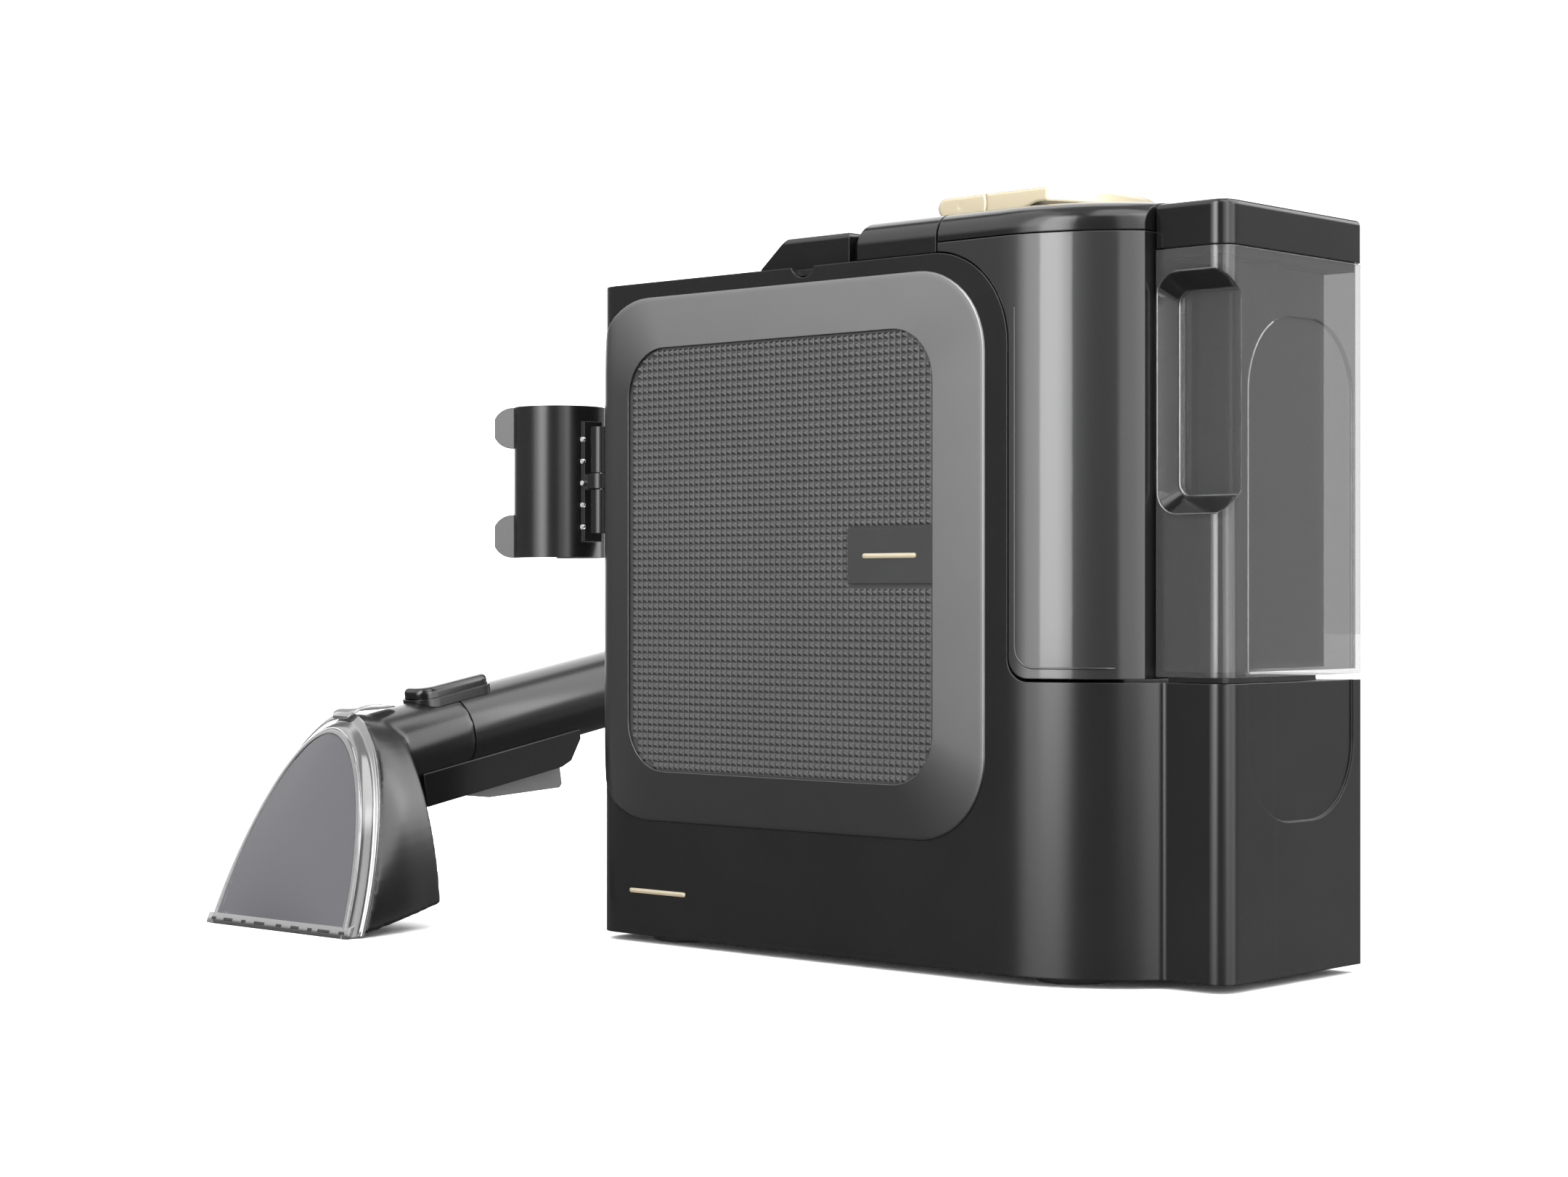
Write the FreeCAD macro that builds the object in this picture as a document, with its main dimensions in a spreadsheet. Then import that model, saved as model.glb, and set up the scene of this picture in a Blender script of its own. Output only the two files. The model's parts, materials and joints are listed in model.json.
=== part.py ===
"""Spot carpet cleaner: a suction machine with two lift-off tanks, a tool holder clip and a hand tool.

Frame: millimetres, +Z up, X along the machine (the tanks are at +X), Y across it (front face at -Y).
The origin is on the floor, under the middle of the main housing.
"""
import FreeCAD, Part
import math
import os
import re

V = FreeCAD.Vector
doc = FreeCAD.newDocument("CarpetCleaner")
sheet = doc.addObject("Spreadsheet::Sheet", "Sizes")

# ---------------------------------------------------------------- driving dimensions
SIZES = {
    "half_long": 176, "half_deep": 71, "skin": 2.5,
    "foot_high": 4, "foot_round": 17.5, "deck_top": 132, "slab_top": 322, "slab_right": 84,
    "slab_corner": 42, "window_corner": 10, "flange": 6, "bay_left": 44,
    "bulge_round": 79, "bulge_middle": 79, "valley_round": 4, "block_front": -38,
    "end_corner": 16, "block_corner": 9, "rear_corner": 3,
    "channel_near": -22, "channel_far": 63, "channel_low": 71, "channel_high": 291, "channel_corner": 34,
    "channel_deep": 1.2, "cord_across": -140, "cord_high": 30,
    "panel_left": -175.4, "panel_right": 71.9, "panel_low": 60, "panel_high": 314.7, "panel_corner": 38,
    "field_left": -147.2, "field_right": 45.1, "field_low": 84.6, "field_high": 289.3, "field_corner": 24,
    "panel_thick": 1.5, "field_thick": 2.5,
    "badge_long": 49.8, "badge_low": 174.8, "badge_high": 200.3,
    "dirty_left": 45, "dirty_right": 138.2, "dirty_back": 33, "dirty_floor": 133.5, "dirty_rim": 326.4,
    "dirty_wall": 2.2, "dirty_gap": 0.8, "lid_low": 327, "lid_top": 340, "lid_round": 11, "lid_floor": 3,
    "separator_across": 81, "separator_round": 16, "float_across": 112, "float_along": -14, "cage_round": 17,
    "clean_left": 139.6, "clean_floor": 134.4, "clean_rim": 318.4, "clean_wall": 2.4, "cap_low": 319,
    "cap_top": 338.4, "leg_front": 34.4, "valve_across": 100, "valve_along": 53,
    "grip_left": 144, "grip_right": 177, "grip_low": 212, "grip_high": 301, "grip_corner": 6, "grip_deep": 11,
    "grip_slope_side": 0.35, "grip_slope_ends": 0.7,
    "bottle_left": 149.6, "bottle_right": 172, "bottle_near": -24, "bottle_far": 48, "bottle_low": 138,
    "bottle_high": 308, "bottle_corner": 5, "bottle_wall": 1.6,
    "pod_left": -70.5, "pod_right": -15, "pod_near": -62, "pod_far": 58, "pod_top": 337.5,
    "button_across": -36, "button_round": 9, "shoulder_left": -14.7, "shoulder_far": 66,
    "handle_low": 340.3, "handle_thick": 9, "handle_near": -51, "handle_far": 33,
    "block_left": 29, "hinge_across": 42, "hinge_round": 14.7, "arm_wide": 12,
    "bail_right": 102.5, "bail_bow": 80, "pin_round": 2,
    "clip_across": -227, "clip_along": -46, "clip_inner": 21.3, "clip_outer": 23.4, "clip_low": 189,
    "clip_high": 266, "clip_notch_low": 211, "clip_notch_high": 245, "clip_half_open": 40,
    "knuckle_across": -189, "knuckle_along": -52, "knuckle_round": 6, "clip_pin_round": 2,
    "knuckle_low": 223.4, "knuckle_high": 231,
    "motor_across": -95, "motor_along": 5, "motor_round": 43, "motor_low": 22, "motor_high": 96,
    "fan_round": 55, "fan_low": 102, "fan_high": 134, "fan_wall": 3, "wheel_round": 48, "shaft_round": 4,
    "duct_outer": 18, "duct_inner": 15.5, "duct_high": 285, "duct_bend": 34,
    "pump_across": 50, "pump_along": 20, "pump_high": 46, "boiler_across": 20, "boiler_high": 44,
    "boiler_near": -50, "boiler_long": 70, "board_across": -62, "board_near": -60, "board_low": 150,
    "filter_left": -124, "filter_right": -16, "filter_low": 40, "filter_high": 96, "filter_border": 6,
    "socket_across": -20, "socket_high": 232, "socket_outer": 22, "socket_inner": 19, "socket_long": 26,
    "tool_across": -315, "tool_along": -160, "tool_pitch": 10, "tube_round": 21, "tube_wall": 3,
    "tube_axis": 75, "tube_joint": 131, "tube_end": 285, "cuff_end": 312, "lip_half": 55.5, "arch_high": 95,
    "flange_half": 60.5, "flange_high": 100, "window_lean": 29.7, "window_deep": 8, "window_wall": 2.2,
    "trigger_along": 130, "trigger_level": 49.5, "trigger_pin": 1.8, "comb_half": 50, "comb_high": 5,
}
for row, (name, number) in enumerate(SIZES.items(), start=1):
    sheet.set(f"A{row}", name)
    sheet.set(f"B{row}", str(number))
    sheet.setAlias(f"B{row}", name)
doc.recompute()
S = type("Sizes", (), {name: getattr(sheet, name) for name in SIZES})
NODES = []
WORD = re.compile(r"\b(" + "|".join(sorted(SIZES, key=len, reverse=True)) + r")\b")
FEET = [(-138, -42), (96, -38), (-138, 44), (140, 44), (0, 0)]
SCREW_PLACES = [(-160, 0), (60, -58), (60, 58), (165, 0), (-60, -58), (-60, 58)]
BUTTONS = {"power_button": -20, "steam_button": 20}


# ---------------------------------------------------------------- small helpers
def bind(thing, prop, value):
    """Give a property a number, or bind it to the sheet when the value is an expression in words."""
    if isinstance(value, str):
        thing.setExpression(prop, WORD.sub(lambda found: "Sizes." + found.group(1), value))
    elif prop.startswith("Placement"):
        thing.setExpression(prop, repr(float(value)))
    else:
        setattr(thing, prop, value)


def place(thing, x=0, y=0, z=0, turn=None):
    if turn is not None:
        thing.Placement.Rotation = turn
    for axis, value in zip("xyz", (x, y, z)):
        bind(thing, "Placement.Base." + axis, value)
    return thing


def block(name, low, high):
    """A box between two corners."""
    thing = doc.addObject("Part::Box", name)
    for prop, a, b in zip(("Length", "Width", "Height"), low, high):
        bind(thing, prop, f"({b}) - ({a})")
    return place(thing, *low)


ALONG = {"X": FreeCAD.Rotation(V(0, 1, 0), 90), "Y": FreeCAD.Rotation(V(1, 0, 0), -90),
         "Z": FreeCAD.Rotation()}


def rod(name, axis, start, radius, length):
    """A cylinder that starts at a point and runs along +X, +Y or +Z."""
    thing = doc.addObject("Part::Cylinder", name)
    bind(thing, "Radius", radius)
    bind(thing, "Height", length)
    return place(thing, *start, turn=ALONG[axis])


def fuse(name, *shapes):
    thing = doc.addObject("Part::MultiFuse", name)
    thing.Shapes = list(shapes)
    return thing


def common(name, *shapes):
    thing = doc.addObject("Part::MultiCommon", name)
    thing.Shapes = list(shapes)
    return thing


def cut(name, base, *tools):
    thing = doc.addObject("Part::Cut", name)
    thing.Base = base
    thing.Tool = tools[0] if len(tools) == 1 else fuse(name + "_tools", *tools)
    return thing


def pipe(name, axis, start, outer, inner, length):
    return cut(name, rod(name + "_outside", axis, start, outer, length),
               rod(name + "_inside", axis, start, inner, length))


def arc_ends(arc):
    cx, cy, radius, first, last = arc
    return [V(cx + radius * math.cos(math.radians(a)), cy + radius * math.sin(math.radians(a)), 0)
            for a in (first, last)]


def outline(items):
    """Sketch geometry through points (x, y) and arcs (centre x, centre y, radius, first, last)."""
    edges, ends = [], []
    for item in items:
        if len(item) == 2:
            ends.append((V(*item, 0), V(*item, 0)))
            continue
        cx, cy, radius, first, last = item
        low, high = sorted((first, last))
        circle = Part.Circle(V(cx, cy, 0), V(0, 0, 1), radius)
        edges.append(Part.ArcOfCircle(circle, math.radians(low), math.radians(high)))
        ends.append(tuple(arc_ends(item)))
    for (_, here), (there, _) in zip(ends, ends[1:] + ends[:1]):
        if (there - here).Length > 1e-6:
            edges.append(Part.LineSegment(here, there))
    return edges


PLANE = {"Z": FreeCAD.Rotation(),
         "Y": FreeCAD.Rotation(V(1, 0, 0), V(0, 0, 1), V(0, -1, 0), "ZXY"),
         "X": FreeCAD.Rotation(V(0, 1, 0), V(0, 0, 1), V(1, 0, 0), "ZXY")}


def prism(name, axis, edges, low, high):
    """A sketch pushed out between two stations, seen along -Z, +Y or -X."""
    sketch = doc.addObject("Sketcher::SketchObject", name + "_sketch")
    for edge in edges:
        sketch.addGeometry(edge, False)
    sketch.Placement.Rotation = PLANE[axis]
    station = {"Z": ("z", low), "Y": ("y", high), "X": ("x", low)}[axis]
    bind(sketch, "Placement.Base." + station[0], station[1])
    thing = doc.addObject("Part::Extrusion", name)
    thing.Base = sketch
    thing.DirMode = "Normal"
    thing.Solid = True
    bind(thing, "LengthFwd", f"({high}) - ({low})")
    return thing


def loft(name, *wires):
    """A solid between closed wires, as a Part feature because the wires are not sketches."""
    thing = doc.addObject("Part::Feature", name)
    thing.Shape = Part.makeLoft(list(wires), True, True)
    return thing


def rectangle(x0, y0, x1, y1, r):
    """A rounded rectangle's outline."""
    return outline([(x1 - r, y0 + r, r, -90, 0), (x1 - r, y1 - r, r, 0, 90),
                    (x0 + r, y1 - r, r, 90, 180), (x0 + r, y0 + r, r, 180, 270)])


def fillet(name, base, radius, wanted):
    """Round every edge for which wanted(edge) is true."""
    doc.recompute()
    thing = doc.addObject("Part::Fillet", name)
    thing.Base = base
    chosen = [(i, radius, radius) for i, edge in enumerate(base.Shape.Edges, 1) if wanted(edge)]
    thing.Edges = chosen
    return thing


def at_height(level):
    """True for an edge that lies flat at a height."""
    def wanted(edge):
        return abs(edge.BoundBox.ZMin - level) < 1e-3 and abs(edge.BoundBox.ZMax - level) < 1e-3
    return wanted


def node(label, thing):
    thing.Label = label
    NODES.append(thing)
    return thing


# ---------------------------------------------------------------- plan outlines
def valley():
    """Centre of the small hollow round that joins the bulge to the tank block, and its angle on the bulge."""
    reach = S.bulge_round + S.valley_round
    drop = S.block_front - S.valley_round - (S.bulge_round - S.half_deep)
    across = S.bulge_middle + math.sqrt(reach ** 2 - drop ** 2)
    return across, S.block_front - S.valley_round, math.degrees(math.atan2(drop, across - S.bulge_middle))


def housing_plan(inset):
    """Flat front, a large round bulge, a valley, and the tank block at the right."""
    edge_x, edge_y = S.half_long - inset, S.half_deep - inset
    left_r, right_r = max(S.end_corner - inset, 1), max(S.block_corner - inset, 1)
    rear_r = max(S.rear_corner - inset, 0.5)
    across, along, angle = valley()
    bulge_y = S.bulge_round - S.half_deep
    return outline([
        (-edge_x + left_r, -edge_y + left_r, left_r, 180, 270),
        (S.bulge_middle, bulge_y, S.bulge_round - inset, -90, angle),
        (across, along, S.valley_round + inset, 180 + angle, 90),
        (edge_x - right_r, S.block_front + inset + right_r, right_r, -90, 0),
        (edge_x - rear_r, edge_y - rear_r, rear_r, 0, 90),
        (-edge_x + left_r, edge_y - left_r, left_r, 90, 180)])


def slab_front(gap, right=400.0):
    """The front face's part left of and below the dirty tank, seen from the front, grown by gap."""
    corner_x, corner_z = S.slab_right - S.slab_corner, S.slab_top - S.slab_corner
    small = S.window_corner - gap
    return outline([(-300, -10), (right, -10), (right, S.deck_top + gap),
                    (S.slab_right + S.window_corner, S.deck_top + S.window_corner, small, 270, 180),
                    (corner_x, corner_z, S.slab_corner + gap, 0, 90),
                    (-300, S.slab_top + gap)])


def dirty_plan(inset, bulge_left):
    """The dirty tank's plan; its front follows the housing's bulge from bulge_left on."""
    bulge_y = S.bulge_round - S.half_deep
    radius = S.bulge_round - inset
    right = S.dirty_right - inset
    first = -math.degrees(math.acos((bulge_left - S.bulge_middle) / radius))
    last = -math.degrees(math.acos((right - S.bulge_middle) / radius))
    return outline([(S.dirty_left + inset, S.dirty_back - inset),
                    (S.dirty_left + inset, -S.half_deep + inset),
                    (S.bulge_middle, bulge_y, radius, first, last),
                    (right, S.dirty_back - inset)])


def clean_plan(inset, front_inset=None):
    """The clean tank's L-shaped plan: a block at the right end and a leg along the back."""
    near = inset if front_inset is None else front_inset
    r_out = max(S.block_corner - inset, 1)
    r_rear = max(S.rear_corner - inset, 0.5)
    right, back = S.half_long - inset, S.half_deep - inset
    left, front = S.clean_left + inset, S.block_front + near
    leg_left, leg_front = S.dirty_left + inset, S.leg_front + inset
    return outline([(left, front), (right - r_out, front + r_out, r_out, -90, 0),
                    (right - r_rear, back - r_rear, r_rear, 0, 90),
                    (leg_left + 2, back - 2, 2, 90, 180), (leg_left, leg_front), (left, leg_front)])


# ---------------------------------------------------------------- housing
def end_channel(name, high):
    """The shallow channel down the right end, cut up to a height."""
    shape = rectangle(S.channel_near, S.channel_low, S.channel_far, high, S.channel_corner)
    return prism(name, "X", shape, "half_long - channel_deep", "half_long + 5")


def housing():
    outside = prism("housing_outside", "Z", housing_plan(0), "foot_high", "lid_top")
    inside = prism("housing_inside", "Z", housing_plan(S.skin), "foot_high - 1", "lid_top + 1")
    ring = cut("housing_ring", outside, inside)
    face = prism("front_face_shape", "Y", slab_front(0), "-half_deep - 10", "0")
    flange_plan = block("flange_block", ("bay_left - 3", "-half_deep + skin", "deck_top"),
                        ("slab_right", "-half_deep + skin + flange - 2", "slab_top"))
    flange = common("slab_flange", flange_plan, prism("flange_shape", "Y", slab_front(-1), "-half_deep", "0"))
    scoop = rod("finger_scoop", "Y", (-36, "-half_deep - 8", "slab_top + 2.5"), 7.5, 20)
    channel = end_channel("end_channel", S.lid_top + 80)
    half = common("front_half", ring, face)
    node("front_housing", cut("front_housing_body", fuse("front_with_flange", half, flange), scoop, channel))

    rear_ring = cut("rear_ring", prism("rear_outside", "Z", housing_plan(0), "foot_high", "slab_top"),
                 prism("rear_inside", "Z", housing_plan(S.skin), "foot_high - 1", "slab_top + 1"))
    low_part = block("rear_low", (-300, "0", 0), (300, 100, "deck_top"))
    high_part = block("rear_high", (-300, "0", "deck_top - 1"), ("bay_left", 100, "slab_top - 4"))
    rear = common("rear_half", rear_ring, fuse("rear_region", low_part, high_part))
    hole = rod("socket_hole", "Y", ("socket_across", 60, "socket_high"), "socket_outer", 20)
    cord_hole = rod("cord_hole", "Y", ("cord_across", 60, "cord_high"), 8, 20)
    slots = [block(f"vent_{i}", (-120 + 11 * i, 60, 44), (-114 + 11 * i, 80, 92)) for i in range(9)]
    rear_channel = end_channel("end_channel_rear", S.lid_top + 80)
    node("rear_housing", cut("rear_housing_body", rear, hole, cord_hole, rear_channel, *slots))

    tray = prism("tray_plate", "Z", housing_plan(S.skin + 0.2), "foot_high + 0.6", "foot_high + 3.6")
    screw_round = 1.6
    bosses, sockets, bolts = [], [], []
    for i, (x, y) in enumerate(SCREW_PLACES):
        bosses.append(rod(f"tray_boss_{i}", "Z", (x, y, "foot_high + 3.4"), 5, 10))
        sockets.append(rod(f"tray_hole_{i}", "Z", (x, y, 0), screw_round, 40))
        head = rod(f"screw_head_{i}", "Z", (x, y, "foot_high - 1.2"), 2 * screw_round, 1.8)
        shank = rod(f"screw_shank_{i}", "Z", (x, y, "foot_high + 0.5"), screw_round, 11)
        bolts.append(fuse(f"screw_{i}", head, shank))
    node("base_tray", cut("base_tray_body", fuse("tray_with_bosses", tray, *bosses), *sockets))
    node("tray_screws", fuse("tray_screws_group", *bolts))

    feet = [rod(f"foot_{i}", "Z", (x, y, 0), "foot_round", "foot_high + 0.6")
            for i, (x, y) in enumerate(FEET)]
    node("rubber_feet", fillet("feet_round", fuse("feet_group", *feet), 1.2, at_height(0)))


def tank_bay():
    plan = prism("deck_plan", "Z", housing_plan(S.skin + 0.1), "deck_top - 3", "deck_top")
    deck = common("deck_plate", plan,
                  block("deck_region", ("bay_left - 2.5", -100, 0), (300, 100, 300)))
    wall = block("bay_wall", ("bay_left - 2.5", "-half_deep + skin + flange - 1.8", "deck_top - 3"),
                 ("bay_left", "half_deep - skin - 0.1", "slab_top - 4.2"))
    air = rod("bay_air_hole", "X", (0, 0, "duct_high"), "duct_inner", 80)
    dirt = rod("bay_dirt_hole", "X", (0, 0, "socket_high"), "duct_inner", 80)
    seat_round = 12
    seat_hole = rod("seat_hole", "Z", ("valve_across", "valve_along", 100), seat_round, 60)
    node("tank_bay", cut("tank_bay_body", fuse("bay_solid", deck, wall), air, dirt, seat_hole))
    outside = rod("seat_outside", "Z", ("valve_across", "valve_along", "deck_top - 12"), seat_round, 12)
    well = rod("seat_well", "Z", ("valve_across", "valve_along", "deck_top - 9"), seat_round - 2.4, 20)
    outlet = rod("seat_outlet", "Z", ("valve_across", "valve_along", "deck_top - 13"), 2, 6)
    node("valve_seat", cut("valve_seat_body", outside, well, outlet))
    gaskets = [pipe(name, "X", ("bay_left - 2.5", 0, level), "duct_inner", 12, 2.8)
               for name, level in (("air_gasket", "duct_high"), ("dirt_gasket", "socket_high"))]
    node("duct_gaskets", fuse("gasket_group", *gaskets))


def top_covers():
    low, high = "slab_top - 4", "slab_top - 1"
    plan = common("deck_cover_plan", prism("deck_cover_outline", "Z", housing_plan(S.skin + 0.2), low, high),
                  block("deck_cover_region", (-300, -100, 0), ("bay_left - 3.2", 100, 400)))
    cable = rod("deck_wire_hole", "Z", (-40, 20, 300), 6, 60)
    node("top_cover", cut("top_cover_body", plan, cable))

    side = outline([(S.pod_left, S.slab_top - 1), (S.pod_right, S.slab_top - 1), (S.pod_right, S.pod_top),
                    (S.pod_left + 16.5, S.pod_top), (S.pod_left, S.pod_top - 13.5)])
    pod = prism("pod_shape", "Y", side, "pod_near", "pod_far")
    hollow = block("pod_hollow", (-60, "pod_near + 8", 300), ("pod_right - 3", "pod_far - 4", "lid_top - 8"))
    wells = [rod(label + "_well", "Z", ("button_across", y, 320), "button_round + 0.4", 40)
             for label, y in BUTTONS.items()]
    top_round = fillet("pod_round", pod, 3, at_height(S.pod_top))
    node("control_pod", cut("control_pod_body", top_round, hollow, *wells))
    cap_long, stem_long = 6, 7
    cap_low = S.pod_top + 1.5 - cap_long
    for label, y in BUTTONS.items():
        cap = rod(label + "_cap", "Z", ("button_across", y, cap_low), "button_round", cap_long)
        stem = rod(label + "_stem", "Z", ("button_across", y, cap_low + 0.5 - stem_long), 3, stem_long)
        rounded_cap = fillet(label + "_round", cap, 1, at_height(cap_low + cap_long))
        node(label, fuse(label + "_body", rounded_cap, stem))

    front, right = -S.half_deep + 0.3, S.bay_left - 0.3
    plan_edges = outline([(S.shoulder_left, S.shoulder_far), (S.shoulder_left, front + 12.2),
                          (S.shoulder_left + 12.2, front), (right, front), (right, S.shoulder_far)])
    cover = prism("shoulder_plan", "Z", plan_edges, "slab_top + 0.4", "lid_top")

    def front_edges(edge):
        box = edge.BoundBox
        return at_height(S.lid_top)(edge) and box.YMin < -50 and box.YMax < 60

    rounded = fillet("shoulder_round", cover, S.lid_round, front_edges)
    dip = block("finger_dip", ("block_left - 3", -53, "lid_top - 5"), (60, 53, "lid_top + 5"))
    inner = block("shoulder_hollow", ("shoulder_left + 3.7", -56, 300),
                  ("bay_left - 4", "shoulder_far - 4", "lid_top - 8"))
    node("shoulder_cover", cut("shoulder_cover_body", rounded, dip, inner))


def front_panel():
    grown = prism("panel_outside", "Z", housing_plan(-S.panel_thick), "panel_low", "panel_high")
    kept = prism("panel_inside", "Z", housing_plan(-0.05), "panel_low - 1", "panel_high + 1")
    sheet_part = cut("panel_sheet", grown, kept)
    ring = rectangle(S.panel_left, S.panel_low, S.panel_right, S.panel_high, S.panel_corner)
    face = prism("panel_shape", "Y", ring, "-half_deep - 10", "-50")
    node("front_panel", common("front_panel_body", sheet_part, face))
    inside = rectangle(S.field_left, S.field_low, S.field_right, S.field_high, S.field_corner)
    field = prism("field_shape", "Y", inside, "-half_deep - panel_thick - field_thick",
                  "-half_deep - panel_thick")
    plate_gap = block("badge_pocket", ("field_right - badge_long", -90, "badge_low"),
                      ("field_right + 5", -60, "badge_high"))
    node("texture_field", cut("texture_field_body", field, plate_gap))
    plate_low = ("field_right - badge_long + 0.2", "-half_deep - panel_thick - 2.7", "badge_low + 0.2")
    plate_high = ("field_right", "-half_deep - panel_thick", "badge_high - 0.2")
    node("badge_plate", block("badge_plate_body", plate_low, plate_high))


# ---------------------------------------------------------------- inside the housing
def works():
    centre = ("motor_across", "motor_along")
    can = rod("motor_can", "Z", (*centre, "motor_low"), "motor_round", "motor_high - motor_low")
    nose = rod("motor_nose", "Z", (*centre, "motor_high"), 16, 5.5)
    bore = rod("motor_bore", "Z", (*centre, "motor_low + 20"), "shaft_round + 0.06", 100)
    node("vacuum_motor", cut("vacuum_motor_body", fuse("motor_solid", can, nose), bore))
    node("motor_mount", pipe("motor_mount_body", "Z", (*centre, "foot_high + 3.6"), "motor_round + 6",
                             "motor_round - 8", "motor_low - foot_high - 3.6"))

    can = rod("fan_outside", "Z", (*centre, "fan_low"), "fan_round", "fan_high - fan_low")
    room = rod("fan_inside", "Z", (*centre, "fan_low + fan_wall"), "fan_round - fan_wall",
               "fan_high - fan_low - 2 * fan_wall")
    inlet = rod("fan_inlet", "Z", (*centre, "fan_high - 10"), "duct_outer", 20)
    shaft_hole = rod("fan_shaft_hole", "Z", (*centre, "fan_low - 1"), "2 * shaft_round", 10)
    outlet = block("fan_outlet", (-60, "motor_along - 9", "fan_low + fan_wall"),
                   (-20, "motor_along + 9", "fan_high - fan_wall"))
    node("fan_housing", cut("fan_can", can, room, inlet, shaft_hole, outlet))

    disc = rod("wheel_disc", "Z", (*centre, "fan_low + fan_wall + 3"), "wheel_round", 2)
    hub = rod("wheel_hub", "Z", (*centre, "fan_low + fan_wall + 3"), 9, 18)
    blades = []
    blade_count, blade_root, blade_sweep = 9, 10, 18
    for i in range(blade_count):
        blade = block(f"blade_{i}", (0, 0, "fan_low + fan_wall + 4"), (1.6, 1, "fan_high - fan_wall - 3"))
        blade.Width = S.wheel_round - blade_root - 2
        angle = 360 / blade_count * i
        direction = math.radians(angle)
        root = V(S.motor_across + blade_root * math.cos(direction),
                 S.motor_along + blade_root * math.sin(direction), S.fan_low + S.fan_wall + 4)
        blade.Placement = FreeCAD.Placement(root, FreeCAD.Rotation(V(0, 0, 1), angle - 90 + blade_sweep))
        blades.append(blade)
    rim = rod("wheel_rim", "Z", (*centre, "fan_low"), "wheel_round", 60)
    wheel = cut("wheel_bored", common("wheel_trimmed", fuse("wheel_solid", disc, hub, *blades), rim),
                rod("wheel_bore", "Z", (*centre, 90), "shaft_round", 60))
    node("impeller", wheel)
    node("motor_shaft", rod("motor_shaft_body", "Z", (*centre, "motor_low + 24"), "shaft_round",
                            "fan_low + fan_wall + 19 - motor_low - 24"))

    drop = pipe("duct_drop", "Z", (*centre, "fan_high"), "duct_outer", "duct_inner",
                "duct_high - duct_bend - fan_high")
    run = pipe("duct_run", "X", ("motor_across + duct_bend", "motor_along", "duct_high"),
               "duct_outer", "duct_inner", "bay_left - 2.5 - motor_across - duct_bend")
    turn = FreeCAD.Rotation(V(-1, 0, 0), V(0, 0, 1), V(0, 1, 0), "ZXY")
    bend = elbow("duct_elbow", "duct_bend", turn,
                 ("motor_across + duct_bend", "motor_along", "duct_high - duct_bend"))
    node("air_duct", fuse("air_duct_body", drop, bend, run))
    pump_and_boiler()
    board_and_filter()


def elbow(name, bend_radius, turn, centre):
    """A quarter bend of the duct's bore about a centre."""
    bends = []
    for part, radius in (("_outside", "duct_outer"), ("_inside", "duct_inner")):
        bend = doc.addObject("Part::Torus", name + part)
        bind(bend, "Radius1", bend_radius)
        bind(bend, "Radius2", radius)
        bend.Angle3 = 90
        bends.append(place(bend, *centre, turn=turn))
    return cut(name, *bends)


def pump_and_boiler():
    floor = "foot_high + 3.6"
    body = rod("pump_body", "X", ("pump_across + 20", "pump_along", "pump_high"), 22, 46)
    head = block("pump_head", ("pump_across", "pump_along - 22", "pump_high - 22"),
                 ("pump_across + 21", "pump_along + 22", "pump_high + 22"))
    port = rod("pump_port", "Z", ("pump_across + 10", "pump_along", "pump_high + 21"), 4, 12)
    foot = block("pump_foot", ("pump_across", "pump_along - 20", floor),
                 ("pump_across + 62", "pump_along + 20", "pump_high - 20"))
    node("water_pump", fuse("water_pump_body", body, head, port, foot))

    can = rod("boiler_can", "Y", ("boiler_across", "boiler_near", "boiler_high"), 24, "boiler_long")
    rims = [rod(name, "Y", ("boiler_across", start, "boiler_high"), 26, 5) for name, start in
            (("boiler_rim_near", "boiler_near - 4"), ("boiler_rim_far", "boiler_near + boiler_long - 2"))]
    stand = block("boiler_stand", ("boiler_across - 16", "boiler_near + 5", floor),
                  ("boiler_across + 16", "boiler_near + boiler_long - 5", "boiler_high - 18"))
    node("steam_boiler", fuse("steam_boiler_body", can, stand, *rims))


def board_and_filter():
    thick = 1.6
    board = block("board_plate", ("board_across", "board_near", "board_low"),
                  (f"board_across + {thick}", "board_near + 44", "board_low + 112"))
    chips = []
    for i, (along, up, wide, tall) in enumerate(((4, 6, 20, 12), (27, 10, 14, 8), (8, 36, 26, 16),
                                                 (22, 68, 18, 6), (4, 90, 16, 10))):
        y, z = S.board_near + along, S.board_low + up
        chips.append(block(f"chip_{i}", (f"board_across + {thick - 0.2}", y, z),
                           (f"board_across + {thick + tall}", y + wide, z + wide)))
    node("control_board", fuse("control_board_body", board, *chips))

    frame = block("filter_frame", ("filter_left", "half_deep - skin - 9", "filter_low"),
                  ("filter_right", "half_deep - skin", "filter_high"))
    window = block("filter_window", ("filter_left + filter_border", 50, "filter_low + filter_border"),
                   ("filter_right - filter_border", 80, "filter_high - filter_border"))
    pleat = 3
    pleats = []
    for i in range(16):
        left = S.filter_left + S.filter_border + 2 * pleat * i
        pleats.append(block(f"filter_pleat_{i}", (left, "half_deep - skin - 8", "filter_low + filter_border"),
                            (left + pleat, "half_deep - skin - 1", "filter_high - filter_border")))
    node("exhaust_filter", fuse("exhaust_filter_body", cut("filter_open_frame", frame, window), *pleats))


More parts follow.
